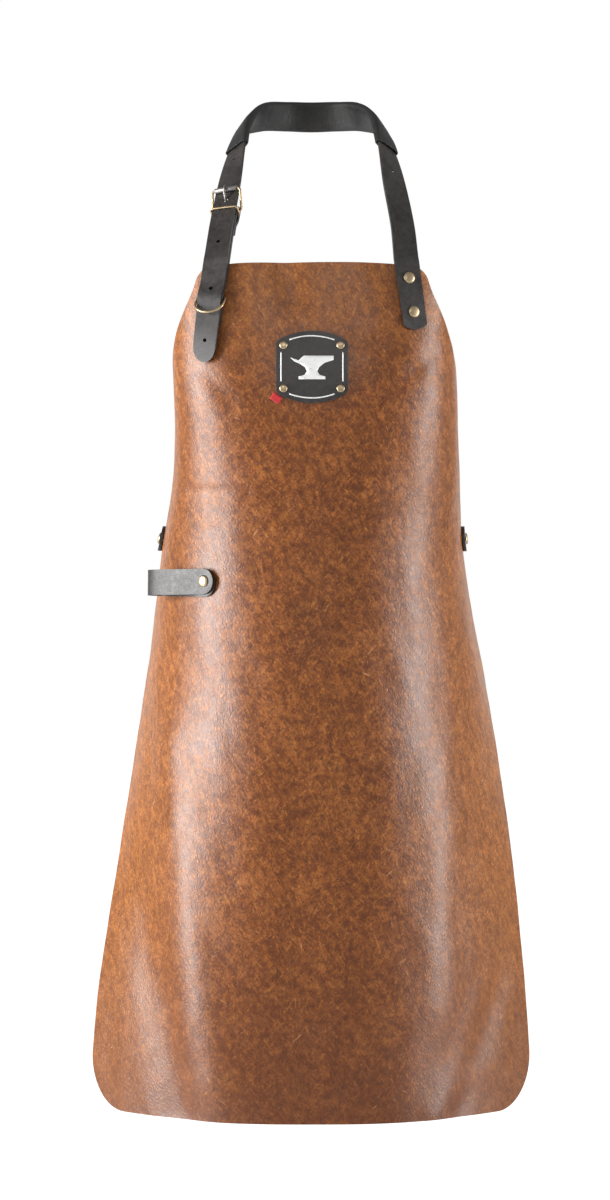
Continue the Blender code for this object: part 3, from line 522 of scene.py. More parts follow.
def round_edges(obj: Obj, width: float, segments: int = 3, material: int = -1) -> None:
    """Round the sharp edges of a piece; the round stretch can take a material slot of its own."""
    bevel = obj.modifiers.new("Round", "BEVEL")
    bevel.width = width
    bevel.segments = segments
    bevel.limit_method = "ANGLE"
    bevel.angle_limit = SHARP_EDGE
    bevel.harden_normals = True
    bevel.material = material


def cut(obj: Obj, cutter: Obj) -> None:
    """Subtract a cutter from an object, fix the result in its mesh and remove the cutter."""
    boolean = obj.modifiers.new("Cut", "BOOLEAN")
    boolean.operation = "DIFFERENCE"
    boolean.solver = "EXACT"
    boolean.object = cutter
    fix_shape(obj)
    bpy.data.objects.remove(cutter, do_unlink=True)


def fix_shape(obj: Obj) -> None:
    """Apply every modifier of an object to its mesh."""
    graph = bpy.context.evaluated_depsgraph_get()
    mesh = bpy.data.meshes.new_from_object(obj.evaluated_get(graph), depsgraph=graph)
    obj.modifiers.clear()
    obj.data = mesh


def stand(points: Array, axis: Array) -> Matrix:
    """Return the transform that takes +Z to an axis and the origin to a point."""
    turn = Vector(axis).to_track_quat("Z", "Y").to_matrix().to_4x4()
    return Matrix.Translation(Vector(points)) @ turn


def round_cutter(centre: Array, axis: Array, radius: float, depth: float) -> Obj:
    """Make a round cutter along an axis."""
    bm = bmesh.new()
    bmesh.ops.create_cone(bm, cap_ends=True, segments=CUTTER_SIDES, radius1=radius, radius2=radius,
                          depth=depth)
    bmesh.ops.transform(bm, matrix=stand(centre, axis), verts=bm.verts)
    return mesh_object("cutter", bm)


def box_cutter(centre: Array, axes: Sequence[Array], sizes: Sequence[float]) -> Obj:
    """Make a box cutter with sizes along three axes."""
    bm = bmesh.new()
    bmesh.ops.create_cube(bm, size=1)
    turn = Matrix([list(a) for a in axes]).transposed().to_4x4()
    scale = Matrix.Diagonal((*sizes, 1))
    bmesh.ops.transform(bm, matrix=Matrix.Translation(Vector(centre)) @ turn @ scale, verts=bm.verts)
    bmesh.ops.recalc_face_normals(bm, faces=bm.faces)
    return mesh_object("cutter", bm)


def turned(name: str, profile: Sequence[tuple[float, float]], seat: Array, axis: Array,
           steps: int = 36) -> Obj:
    """Turn a profile of radius and height about an axis through a seat.

    Args:
        name: Name of the object.
        profile: Pairs of radius and height, closed where the ends meet.
        seat: Point that height 0 on the axis goes to.
        axis: The way that height grows.
        steps: Sides of the turned shape.

    Returns:
        The new object.
    """
    bm = bmesh.new()
    verts = [bm.verts.new((radius, 0, height)) for radius, height in profile]
    edges = [bm.edges.new(pair) for pair in zip(verts, verts[1:])]
    bmesh.ops.spin(bm, geom=verts + edges, cent=(0, 0, 0), axis=(0, 0, 1), dvec=(0, 0, 0),
                   angle=2 * math.pi, steps=steps, use_merge=True, use_duplicate=False)
    bmesh.ops.remove_doubles(bm, verts=bm.verts, dist=TOUCH)
    bmesh.ops.recalc_face_normals(bm, faces=bm.faces)
    bmesh.ops.transform(bm, matrix=stand(seat, axis), verts=bm.verts)
    return mesh_object(name, bm)


def wire(name: str, points: Array, width: float, cyclic: bool = False,
         taper: Sequence[float] | None = None) -> Obj:
    """Make a round wire along points, as a mesh.

    Args:
        name: Name of the object.
        points: Points of the wire's centre line.
        width: Diameter of the wire.
        cyclic: Join the last point to the first.
        taper: Share of the width at each point.

    Returns:
        The new object.
    """
    curve = bpy.data.curves.new(name, "CURVE")
    curve.dimensions = "3D"
    curve.bevel_depth = width / 2
    curve.bevel_resolution = WIRE_ROUNDNESS
    curve.use_fill_caps = True
    spline = curve.splines.new("POLY")
    spline.points.add(len(points) - 1)
    for k, point in enumerate(points):
        spline.points[k].co = (*point, 1)
        spline.points[k].radius = taper[k] if taper else 1
    spline.use_cyclic_u = cyclic
    draft = link_object(name + "_draft", curve)
    mesh = bpy.data.meshes.new_from_object(draft)
    bpy.data.objects.remove(draft, do_unlink=True)
    mesh.shade_smooth()
    return link_object(name, mesh)


def round_box(half: float, low: float, high: float, radius: float, count: int) -> list[tuple]:
    """Return the outline of a box with round corners.

    Args:
        half: Half of its size across.
        low: Where it starts along.
        high: Where it ends along.
        radius: Radius of its corners.
        count: Points of each corner.

    Returns:
        Pairs of across and along.
    """
    outline = []
    for side, end, first in ((1, high - radius, 0), (-1, high - radius, 90),
                             (-1, low + radius, 180), (1, low + radius, 270)):
        for turn in np.radians(first + np.linspace(0, 90, count)):
            across = side * (half - radius) + radius * math.cos(turn)
            outline.append((across, end + radius * math.sin(turn)))
    return outline


def smooth_line(points: Array, count: int) -> Array:
    """Return points spaced evenly along a smooth curve through points."""
    gaps = np.linalg.norm(np.diff(points, axis=0), axis=1)
    places = np.concatenate([[0], np.cumsum(gaps)])
    return smooth(places, points, np.linspace(0, places[-1], count))


def deliver(obj: Obj, materials: Sequence[bpy.types.Material], slot: Slot, *nodes: str) -> Obj:
    """Dress a finished piece and hand it to the frame.

    Args:
        obj: The piece.
        materials: Its materials in slot order.
        slot: Not used.
        nodes: CAD nodes that it stands for.

    Returns:
        The piece.
    """
    obj.data.materials.clear()
    for material in materials:
        obj.data.materials.append(material)
    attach(obj, "root")
    if nodes:
        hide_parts(*nodes)
    log.info("%s stands for %s", obj.name, ", ".join(nodes) or "a detail")
    return obj


class Graph:
    """Adds nodes to a tree and links them."""

    def __init__(self, tree: bpy.types.NodeTree) -> None:
        """Keep the tree."""
        self.tree = tree

    def add(self, kind: str, inputs: dict[str | int, object] | None = None,
            **settings: object) -> bpy.types.Node:
        """Add a node.

        Args:
            kind: Type name of the node.
            inputs: Sockets to link, or values to set, by input name or number.
            settings: Properties of the node.

        Returns:
            The node.
        """
        node = self.tree.nodes.new(kind)
        for name, value in settings.items():
            setattr(node, name, value)
        for name, value in (inputs or {}).items():
            if isinstance(value, bpy.types.NodeSocket):
                self.tree.links.new(value, node.inputs[name])
            else:
                node.inputs[name].default_value = value
        return node

    def math(self, operation: str, a: object, b: object = 0.0, clamp: bool = False) -> Socket:
        """Add a Math node and return its value."""
        node = self.add("ShaderNodeMath", {0: a, 1: b}, operation=operation, use_clamp=clamp)
        return node.outputs[0]

    def span(self, value: Socket, low: float, high: float, to: tuple[float, float] = (0, 1)) -> Socket:
        """Map a value from low and high to a new span, clamped."""
        inputs = {"Value": value, "From Min": low, "From Max": high, "To Min": to[0], "To Max": to[1]}
        return self.add("ShaderNodeMapRange", inputs, clamp=True).outputs["Result"]

    def mix(self, share: object, a: object, b: object, blend: str = "MIX") -> Socket:
        """Mix two colours by a share."""
        node = self.add("ShaderNodeMix", {0: share, 6: a, 7: b}, data_type="RGBA", blend_type=blend)
        return node.outputs[2]

    def weigh(self, *pairs: tuple[Socket, float]) -> Socket:
        """Add values up, each times its weight."""
        total, *rest = (self.math("MULTIPLY", value, weight) for value, weight in pairs)
        for value in rest:
            total = self.math("ADD", total, value)
        return total

    def noise(self, vector: Socket, scale: object, detail: float = 2, roughness: float = 0.5,
              distortion: float = 0.0) -> Socket:
        """Add a Noise texture and return its value."""
        inputs = {"Vector": vector, "Scale": scale, "Detail": detail, "Roughness": roughness,
                  "Distortion": distortion}
        return self.add("ShaderNodeTexNoise", inputs).outputs[0]

    def draw_out(self, vector: Socket, degrees: float, stretch: float) -> Socket:
        """Stretch a pattern along one direction of its plane, in degrees from +X."""
        inputs = {"Vector": vector, "Rotation": (0, 0, math.radians(degrees)), "Scale": (stretch, 1, 1)}
        return self.add("ShaderNodeMapping", inputs, vector_type="TEXTURE").outputs[0]

    def warp(self, vector: Socket, scale: float, amount: float) -> Socket:
        """Shift a pattern by a noise, so that its lines wander."""
        noise = self.add("ShaderNodeTexNoise", {"Vector": vector, "Scale": scale, "Detail": 1})
        centred = self.add("ShaderNodeVectorMath", {0: noise.outputs[1], 1: (0.5, 0.5, 0.5)},
                           operation="SUBTRACT")
        scaled = self.add("ShaderNodeVectorMath", {0: centred.outputs[0], "Scale": amount},
                          operation="SCALE")
        return self.add("ShaderNodeVectorMath", {0: vector, 1: scaled.outputs[0]},
                        operation="ADD").outputs[0]


def solid(colour: Colour) -> tuple[float, float, float, float]:
    """Return a colour with full alpha."""
    return (*colour, 1.0)


class LineKind(NamedTuple):
    """One kind of drawn-out lines: warp is scale and shift, noise is detail and roughness."""

    name: str
    scale: float
    warp: tuple[float, float]
    directions: tuple[float, ...]
    stretch: float
    noise: tuple[float, float]
    span: tuple[float, float]
    gathered: bool


SCUFFS = LineKind("scuffs", 400, (25, 0.012), (24, 71, 141), 7, (2, 0.5), (0.70, 0.78), True)
STREAKS = LineKind("pull_up_streaks", 450, (12, 0.03), (58, 122), 4.5, (3, 0.6), (0.55, 0.78), False)


class Effects:
    """Shader node groups that more than one material uses."""

    def __init__(self) -> None:
        """Build every group once."""
        self.grain = self.make_grain()
        self.mottle = self.make_mottle()
        self.scuffs = self.make_lines(SCUFFS)
        self.streaks = self.make_lines(STREAKS)

    @staticmethod
    def new_group(name: str, floats: dict[str, float], output: str) -> tuple[Graph, bpy.types.Node,
                                                                           bpy.types.Node]:
        """Start a group with a vector, named numbers and one output.

        Args:
            name: Name of the group.
            floats: Its number inputs and their defaults.
            output: Name of its output.

        Returns:
            The group's graph, its input node and its output node.
        """
        tree = bpy.data.node_groups.new(name, "ShaderNodeTree")
        tree.interface.new_socket("Vector", in_out="INPUT", socket_type="NodeSocketVector")
        for label, value in floats.items():
            socket = tree.interface.new_socket(label, in_out="INPUT", socket_type="NodeSocketFloat")
            socket.default_value = value
        tree.interface.new_socket(output, in_out="OUTPUT", socket_type="NodeSocketFloat")
        graph = Graph(tree)
        return graph, graph.add("NodeGroupInput"), graph.add("NodeGroupOutput")

    def make_grain(self) -> bpy.types.NodeTree:
        """Make the grain of leather: pebbles parted by fine lines, drawn into slanting wrinkles."""
        graph, given, result = self.new_group("leather_grain", {"Scale": 500, "Wrinkle": 0.5}, "Height")
        vector = graph.warp(given.outputs["Vector"], 90, 0.004)
        slant = graph.draw_out(vector, 62, 1.5)
        cells = graph.add("ShaderNodeTexVoronoi", {"Vector": slant, "Scale": given.outputs["Scale"]},
                          feature="DISTANCE_TO_EDGE")
        pebble = graph.span(cells.outputs["Distance"], 0.0, 0.35)
        broad = graph.math("MULTIPLY", given.outputs["Scale"], 0.45)
        wrinkle = graph.noise(graph.draw_out(vector, 62, 2.2), broad, 3, 0.6)
        wrinkle = graph.span(wrinkle, 0.35, 0.65)
        share = graph.math("MULTIPLY", wrinkle, given.outputs["Wrinkle"])
        total = graph.math("ADD", graph.math("MULTIPLY", pebble, 0.5), share)
        graph.tree.links.new(total, result.inputs["Height"])
        return graph.tree

    def make_mottle(self) -> bpy.types.NodeTree:
        """Make cloudy patches of three sizes."""
        graph, given, result = self.new_group("mottle", {"Scale": 20, "Contrast": 1.0}, "Patch")
        vector, scale = given.outputs["Vector"], given.outputs["Scale"]
        large = graph.noise(vector, scale, 3, 0.55, 0.4)
        middle = graph.noise(vector, graph.math("MULTIPLY", scale, 3.7), 4, 0.6, 0.8)
        small = graph.noise(vector, graph.math("MULTIPLY", scale, 14), 3, 0.6)
        total = graph.weigh((large, 0.35), (middle, 0.4), (small, 0.25))
        centred = graph.math("MULTIPLY", graph.math("SUBTRACT", total, 0.5), given.outputs["Contrast"])
        total = graph.math("ADD", graph.math("MULTIPLY", centred, 4), 0.5, clamp=True)
        graph.tree.links.new(total, result.inputs["Patch"])
        return graph.tree

    def make_lines(self, kind: LineKind) -> bpy.types.NodeTree:
        """Make drawn-out lines in some directions, as a mask."""
        graph, given, result = self.new_group(kind.name, {"Scale": kind.scale, "Amount": 0.5}, "Mask")
        vector = graph.warp(given.outputs["Vector"], *kind.warp)
        total: object = 0.0
        for degrees in kind.directions:
            drawn = graph.draw_out(vector, degrees, kind.stretch)
            line = graph.noise(drawn, given.outputs["Scale"], *kind.noise)
            total = graph.math("MAXIMUM", total, graph.span(line, *kind.span))
        if kind.gathered:
            patch = graph.noise(given.outputs["Vector"], 14, 2, 0.5)
            total = graph.math("MULTIPLY", total, graph.span(patch, 0.42, 0.66))
        total = graph.math("MULTIPLY", total, given.outputs["Amount"])
        graph.tree.links.new(total, result.inputs["Mask"])
        return graph.tree


EFFECTS = Effects()


class Coat(Enum):
    """Coordinates that a pattern follows."""

    PATTERN = "UV"
    BODY = "Object"


def start_material(name: str, coat: Coat) -> tuple[bpy.types.Material, Graph, bpy.types.Node, Socket]:
    """Start a Principled material.

    Args:
        name: Name of the material.
        coat: Coordinates for its patterns.

    Returns:
        The material, its graph, its shader and its pattern vector.
    """
    material = bpy.data.materials.new(name)
    material.use_nodes = True
    graph = Graph(material.node_tree)
    shader = material.node_tree.nodes["Principled BSDF"]
    vector = graph.add("ShaderNodeTexCoord").outputs[coat.value]
    return material, graph, shader, vector


def use(graph: Graph, group: bpy.types.NodeTree, vector: Socket, **values: float) -> Socket:
    """Place a group in a material and return its output."""
    node = graph.add("ShaderNodeGroup", node_tree=group)
    graph.tree.links.new(vector, node.inputs["Vector"])
    for name, value in values.items():
        node.inputs[name].default_value = value
    return node.outputs[0]


def bump(graph: Graph, shader: bpy.types.Node, height: Socket, distance: float) -> None:
    """Raise a shader's surface by a height."""
    node = graph.add("ShaderNodeBump", {"Height": height, "Distance": distance, "Strength": 1.0})
    graph.tree.links.new(node.outputs[0], shader.inputs["Normal"])


def dress(graph: Graph, shader: bpy.types.Node, colour: Socket, rough: Socket | float,
          constants: dict[str, object] | None = None) -> None:
    """Give a shader its colour and roughness, and set its other inputs by name."""
    for name, value in {"Base Color": colour, "Roughness": rough, **(constants or {})}.items():
        if isinstance(value, bpy.types.NodeSocket):
            graph.tree.links.new(value, shader.inputs[name])
        else:
            shader.inputs[name].default_value = value


@dataclass(frozen=True)
class PullUpLeather:
    """Waxy brown leather with mottling, slanting grain and scuffs; lighter at the sides, partly its tan
    and partly painted highlight, with painted highlight at the bib's top and painted shade towards the
    hem and in the grain's hollows.
    """

    dark: Colour = (0.100, 0.024, 0.005)
    middle: Colour = (0.300, 0.080, 0.010)
    light: Colour = (0.540, 0.200, 0.040)
    scuff: Colour = (0.640, 0.300, 0.120)
    roughness: tuple[float, float] = (0.36, 0.44)
    grain: float = 300
    grain_depth: float = 0.00016

    def build(self) -> bpy.types.Material:
        """Return the material."""
        material, graph, shader, vector = start_material("brown_pull_up_leather", Coat.PATTERN)
        patch = use(graph, EFFECTS.mottle, vector, Scale=15, Contrast=1.1)
        speck = use(graph, EFFECTS.mottle, vector, Scale=135, Contrast=1.45)
        height = use(graph, EFFECTS.grain, vector, Scale=self.grain, Wrinkle=0.5)
        streaks = use(graph, EFFECTS.streaks, vector, Scale=420, Amount=1.0)
        scuffs = use(graph, EFFECTS.scuffs, vector, Scale=430, Amount=0.8)
        split = graph.add("ShaderNodeSeparateXYZ", {0: vector})
        aside, down = graph.math("ABSOLUTE", split.outputs[0]), split.outputs[1]
        colour = graph.mix(graph.span(patch, -0.25, 0.75), solid(self.dark), solid(self.middle))
        # Each layer: its mask, the mask's values where it starts and is full, its strength and tone.
        for mask, none, full, strength, tone in (
            (patch, 0.6, 1.1, 0.50, self.light),
            (speck, 0.5, 1.0, 0.46, self.light),
            (speck, 0.5, 0.12, 0.85, self.dark),
            (streaks, 0.0, 1.0, 1.0, self.light),
            # Lighter towards the sides: partly the leather's tan, partly a painted highlight where the
            # side lights graze the turn.
            (aside, 0.09, 0.24, 0.40, self.light),
            # Lighter at the bib's top: a painted highlight of the light from above the front.
            (down, 0.13, 0.0, 0.35, self.light),
            # Darker towards the hem: painted shade where less light falls.
            (down, 0.62, 0.86, 0.55, self.dark),
            # Darker in the grain's low lines: painted shade in its hollows.
            (height, 0.75, 0.1, 0.62, self.dark),
            (scuffs, 0.0, 1.0, 1.0, self.scuff),
        ):
            share = graph.span(mask, none, full, (0, strength))
            colour = graph.mix(share, colour, solid(tone))
        rough = graph.span(patch, 0.2, 0.9, self.roughness)
        rough = graph.math("ADD", rough, graph.math("MULTIPLY", scuffs, 0.2))
        dress(graph, shader, colour, rough, {"Specular IOR Level": 0.55})
        bump(graph, shader, height, self.grain_depth)
        return material


@dataclass(frozen=True)
class Suede:
    """Flesh side of the leather: matt, paler and slightly furry."""

    dark: Colour = (0.270, 0.145, 0.072)
    light: Colour = (0.480, 0.290, 0.160)
    nap_depth: float = 0.0003

    def build(self) -> bpy.types.Material:
        """Return the material."""
        material, graph, shader, vector = start_material("brown_suede", Coat.PATTERN)
        patch = use(graph, EFFECTS.mottle, vector, Scale=24, Contrast=0.8)
        nap = graph.noise(vector, 900, 3, 0.7)
        share = graph.weigh((patch, 0.7), (nap, 0.3))
        colour = graph.mix(share, solid(self.dark), solid(self.light))
        dress(graph, shader, colour, 0.92, {"Sheen Weight": 0.35, "Sheen Roughness": 0.5,
                                            "Sheen Tint": solid(self.light)})
        bump(graph, shader, nap, self.nap_depth)
        return material


@dataclass(frozen=True)
class CutEdge:
    """Cut edge of a sheet, dyed and rubbed smooth."""

    name: str
    dark: Colour
    light: Colour
    roughness: float = 0.55
    depth: float = 0.0001

    def build(self) -> bpy.types.Material:
        """Return the material."""
        material, graph, shader, vector = start_material(self.name, Coat.BODY)
        fibre = graph.noise(vector, 700, 3, 0.7)
        colour = graph.mix(graph.span(fibre, 0.3, 0.75), solid(self.dark), solid(self.light))
        dress(graph, shader, colour, self.roughness)
        bump(graph, shader, fibre, self.depth)
        return material


@dataclass(frozen=True)
class StrapLeather:
    """Black leather for straps: fine grain, faint mottling and a half gloss."""

    name: str = "black_strap_leather"
    dark: Colour = (0.0190, 0.0165, 0.0155)
    light: Colour = (0.055, 0.048, 0.045)
    roughness: tuple[float, float] = (0.36, 0.50)
    grain: float = 900
    wrinkle: float = 0.25
    grain_depth: float = 0.00005

    def build(self) -> bpy.types.Material:
        """Return the material."""
        material, graph, shader, vector = start_material(self.name, Coat.PATTERN)
        patch = use(graph, EFFECTS.mottle, vector, Scale=45, Contrast=0.9)
        height = use(graph, EFFECTS.grain, vector, Scale=self.grain, Wrinkle=self.wrinkle)
        scuffs = use(graph, EFFECTS.scuffs, vector, Scale=700, Amount=0.15)
        colour = graph.mix(patch, solid(self.dark), solid(self.light))
        colour = graph.mix(scuffs, colour, (0.10, 0.095, 0.09, 1))
        dress(graph, shader, colour, graph.span(patch, 0.2, 0.9, self.roughness))
        bump(graph, shader, height, self.grain_depth)
        return material


@dataclass(frozen=True)
class Metal:
    """Cast or drawn metal with tarnish in patches and fine scratches."""

    name: str
    bright: Colour
    tarnish: Colour
    roughness: tuple[float, float]
    cover: float = 0.22
    scratch_depth: float = 0.00002

    def build(self) -> bpy.types.Material:
        """Return the material."""
        material, graph, shader, vector = start_material(self.name, Coat.BODY)
        patch = use(graph, EFFECTS.mottle, vector, Scale=160, Contrast=1.2)
        scratch = use(graph, EFFECTS.scuffs, vector, Scale=2500, Amount=0.6)
        cover = graph.math("MULTIPLY", graph.span(patch, 0.45, 0.9), self.cover * 2, clamp=True)
        colour = graph.mix(cover, solid(self.bright), solid(self.tarnish))
        rough = graph.span(patch, 0.3, 0.9, self.roughness)
        rough = graph.math("ADD", rough, graph.math("MULTIPLY", scratch, 0.15))
        dress(graph, shader, colour, rough, {"Metallic": 1.0})
        bump(graph, shader, scratch, self.scratch_depth)
        return material


@dataclass(frozen=True)
class Ribbon:
    """Red ribbon with fine cross ribs."""

    dark: Colour = (0.42, 0.008, 0.012)
    light: Colour = (0.78, 0.030, 0.035)
    ribs: float = 1500
    rib_depth: float = 0.0001

    def build(self) -> bpy.types.Material:
        """Return the material."""
        material, graph, shader, vector = start_material("red_ribbed_ribbon", Coat.PATTERN)
        split = graph.add("ShaderNodeSeparateXYZ", {0: vector})
        rib = graph.math("SINE", graph.math("MULTIPLY", split.outputs[1], self.ribs * 2 * math.pi))
        height = graph.span(rib, -1.0, 1.0)
        weave = graph.noise(vector, 1500, 2, 0.6)
        # Lighter on the rib crests and darker in their troughs: painted shade of the ribs, mixed with
        # the weave's random tone.
        share = graph.weigh((height, 0.5), (weave, 0.5))
        colour = graph.mix(share, solid(self.dark), solid(self.light))
        dress(graph, shader, colour, 0.62, {"Sheen Weight": 0.3})
        bump(graph, shader, height, self.rib_depth)
        return material


@dataclass(frozen=True)
class PrintedInk:
    """White ink printed on leather, slightly worn."""

    fresh: Colour = (0.95, 0.95, 0.93)
    worn: Colour = (0.60, 0.60, 0.58)
    wear_depth: float = 0.00004

    def build(self) -> bpy.types.Material:
        """Return the material."""
        material, graph, shader, vector = start_material("white_print", Coat.BODY)
        wear = use(graph, EFFECTS.mottle, vector, Scale=90, Contrast=1.2)
        colour = graph.mix(graph.span(wear, 0.75, 1.0), solid(self.fresh), solid(self.worn))
        dress(graph, shader, colour, 0.6)
        bump(graph, shader, wear, self.wear_depth)
        return material


@dataclass(frozen=True)
class Finishes:
    """Every material of the apron, built once."""

    leather: bpy.types.Material = field(default_factory=lambda: PullUpLeather().build())
    suede: bpy.types.Material = field(default_factory=lambda: Suede().build())
    brown_edge: bpy.types.Material = field(default_factory=lambda: CutEdge(
        "brown_cut_edge", (0.030, 0.012, 0.006), (0.110, 0.045, 0.020)).build())
    black: bpy.types.Material = field(default_factory=lambda: StrapLeather().build())
    black_edge: bpy.types.Material = field(default_factory=lambda: CutEdge(
        "black_cut_edge", (0.040, 0.036, 0.034), (0.150, 0.136, 0.128), 0.40).build())
    soft: bpy.types.Material = field(default_factory=lambda: StrapLeather(
        "soft_black_leather", (0.010, 0.010, 0.010), (0.028, 0.027, 0.026), (0.46, 0.60),
        420, 0.8, 0.00018).build())
    brass: bpy.types.Material = field(default_factory=lambda: Metal(
        "antique_brass", (0.58, 0.445, 0.28), (0.22, 0.142, 0.072), (0.34, 0.50)).build())
    steel: bpy.types.Material = field(default_factory=lambda: Metal(
        "dull_steel", (0.36, 0.345, 0.33), (0.22, 0.205, 0.195), (0.46, 0.60), 0.25).build())
    ribbon: bpy.types.Material = field(default_factory=lambda: Ribbon().build())
    ink: bpy.types.Material = field(default_factory=lambda: PrintedInk().build())

    @property
    def strap_layers(self) -> list[bpy.types.Material]:
        """Materials of a black strap: its faces, then its skived edge."""
        return [self.black, self.black_edge]


FINISHES = Finishes()


@dataclass(frozen=True)
class StrapStock:
    """Sizes that every black strap shares."""

    width: float = 0.026
    wall: float = 0.0026
    edge: float = 0.0006
    columns: int = 6

    @property
    def on_sheet(self) -> float:
        """Height of a strap's middle over the sheet's middle where it lies on it."""
        return FORM.wall / 2 + CLEARANCE + self.wall / 2

    def rows(self, start: float, end: float, step: float, tip_start: float = 0.0,
             tip_end: float = 0.0) -> Array:
        """Return rows of distance and half width.

        Args:
            start: Distance of the first row.
            end: Distance of the last row.
            step: Spacing of the plain rows.
            tip_start: Length of a round tip at the start, or 0 for a plain end.
            tip_end: Length of a round tip at the end, or 0 for a plain end.

        Returns:
            An array of pairs.
        """
        half = self.width / 2
        turns = np.radians(TIP_TURNS)
        first, last = start + tip_start, end - tip_end
        count = max(2, round((last - first) / step))
        plain = [(v, half) for v in np.linspace(first, last, count + 1)]
        if tip_start:
            plain = [(start + tip_start * (1 - math.cos(a)), half * math.sin(a)) for a in turns] + plain
        if tip_end:
            plain += [(end - tip_end * (1 - math.cos(a)), half * math.sin(a)) for a in turns[::-1]]
        return np.array(plain)

    def make(self, name: str, rows: Array, place: Callable[[Array, Array], Array]) -> Obj:
        """Make a strap of full thickness from rows, laid out by place(v, u)."""

        def across(i: Array, j: Array) -> Array:
            """Return the distances from the strap's middle."""
            return rows[j, 1] * (2 * i / self.columns - 1)

        def corner(i: Array, j: Array) -> Array:
            """Return the places of the grid's corners."""
            return place(rows[j, 0], across(i, j))

        def flat(i: Array, j: Array) -> Array:
            """Return the flat places of the grid's corners."""
            return np.stack([across(i, j), rows[j, 0]], -1)

        obj = mapped_grid(name, self.columns, len(rows) - 1, corner, flat)
        add_wall(obj, self.wall)
        return obj


STRAP = StrapStock()


@dataclass(frozen=True)
class Rivet:
    """Rivet with a domed cap in front, a post and a low cap behind."""

    width: float = 0.012
    height: float = 0.0022
    back_width: float = 0.010
    back_height: float = 0.001
    post: float = 0.004
    back_gap: float = 0.0008

    def build(self, name: str, seat: Array, axis: Array, stack: float, *nodes: str) -> Obj:
        """Build the rivet.

        Args:
            name: Name of the piece.
            seat: Middle of the cap's underside.
            axis: The way that the cap faces.
            stack: Thickness of the layers that it holds.
            nodes: CAD nodes that it stands for.

        Returns:
            The piece.
        """
        radius, back = self.width / 2, min(self.back_width, self.width) / 2
        lip = 0.28 * self.height
        profile = []
        for k in range(9):
            turn = math.radians(10 * k)
            rise = lip + (self.height - lip) * math.cos(turn) ** 0.75 + CLEARANCE
            profile.append((radius * 0.93 * math.sin(turn) ** 0.9, rise))
        profile += [(0.97 * radius, CLEARANCE + 1.15 * lip), (radius, CLEARANCE + 0.7 * lip)]
        profile += [(radius, CLEARANCE + 0.25 * lip), (0.95 * radius, CLEARANCE)]
        behind = -stack - self.back_gap
        profile += [(self.post / 2, CLEARANCE), (self.post / 2, behind), (0.96 * back, behind)]
        for share, depth in ((1.0, 0.4), (0.9, 0.85), (0.4, 1.0), (0.0, 1.0)):
            profile.append((share * back, behind - depth * self.back_height))
        obj = turned(name, profile, seat, axis)
        return deliver(obj, [FINISHES.brass], Slot.BRASS, *nodes)


@dataclass(frozen=True)
class ApronBody:
    """Bib and skirt: one sheet of brown leather."""

    columns: int = 132
    bib_rows: int = 62
    skirt_rows: int = 112
    corner_rows: int = 12
    edge: float = 0.0004

    def drops(self) -> Array:
        """Return the drops of the mesh's rows, close together in the round corners."""
        turns = np.radians(np.linspace(0, 90, self.corner_rows, endpoint=False))
        top = FORM.top_corner * (1 - np.cos(turns))
        waist, last = FORM.bib, FORM.length - FORM.hem_corner
        bib = np.linspace(FORM.top_corner, waist, self.bib_rows, endpoint=False)
        skirt = np.linspace(waist, last, self.skirt_rows, endpoint=False)
        hem = last + FORM.hem_corner * np.sin(np.radians(np.linspace(0, 90, self.corner_rows + 5)))
        return np.concatenate([top, bib, skirt, hem])

    def build(self) -> Obj:
        drops = self.drops()

        def across(i: Array, j: Array) -> Array:
            """Return the distances from the sheet's centre line."""
            return (2 * i / self.columns - 1) * FORM.half_width(drops[j])

        def corner(i: Array, j: Array) -> Array:
            """Return the places of the grid's corners."""
            return FORM.point(across(i, j), drops[j])

        def flat(i: Array, j: Array) -> Array:
            """Return the flat places of the grid's corners."""
            return np.stack([across(i, j), drops[j]], -1)

        obj = mapped_grid("apron_sheet", self.columns, len(drops) - 1, corner, flat, flip=True)
        add_wall(obj, FORM.wall, layers=True)
        round_edges(obj, self.edge, 2)
        deliver(obj, [FINISHES.leather, FINISHES.suede, FINISHES.brown_edge], Slot.BROWN, "apron_body")
        FORM.area()
        return obj


def strap_across(t: Array) -> Array:
    """Return the distance of a strap's centre line from the middle of the bib, at a drop."""
    return FORM.top_width / 2 - STRAP_INSET + t * STRAP_SPLAY


def aim(facing: float, rise: float, side: float) -> Array:
    """Return the unit vector at degrees off the front and degrees above level."""
    turn, up = math.radians(facing), math.radians(rise)
    level = math.cos(up)
    return np.array([side * math.sin(turn) * level, -math.cos(turn) * level, math.sin(up)])


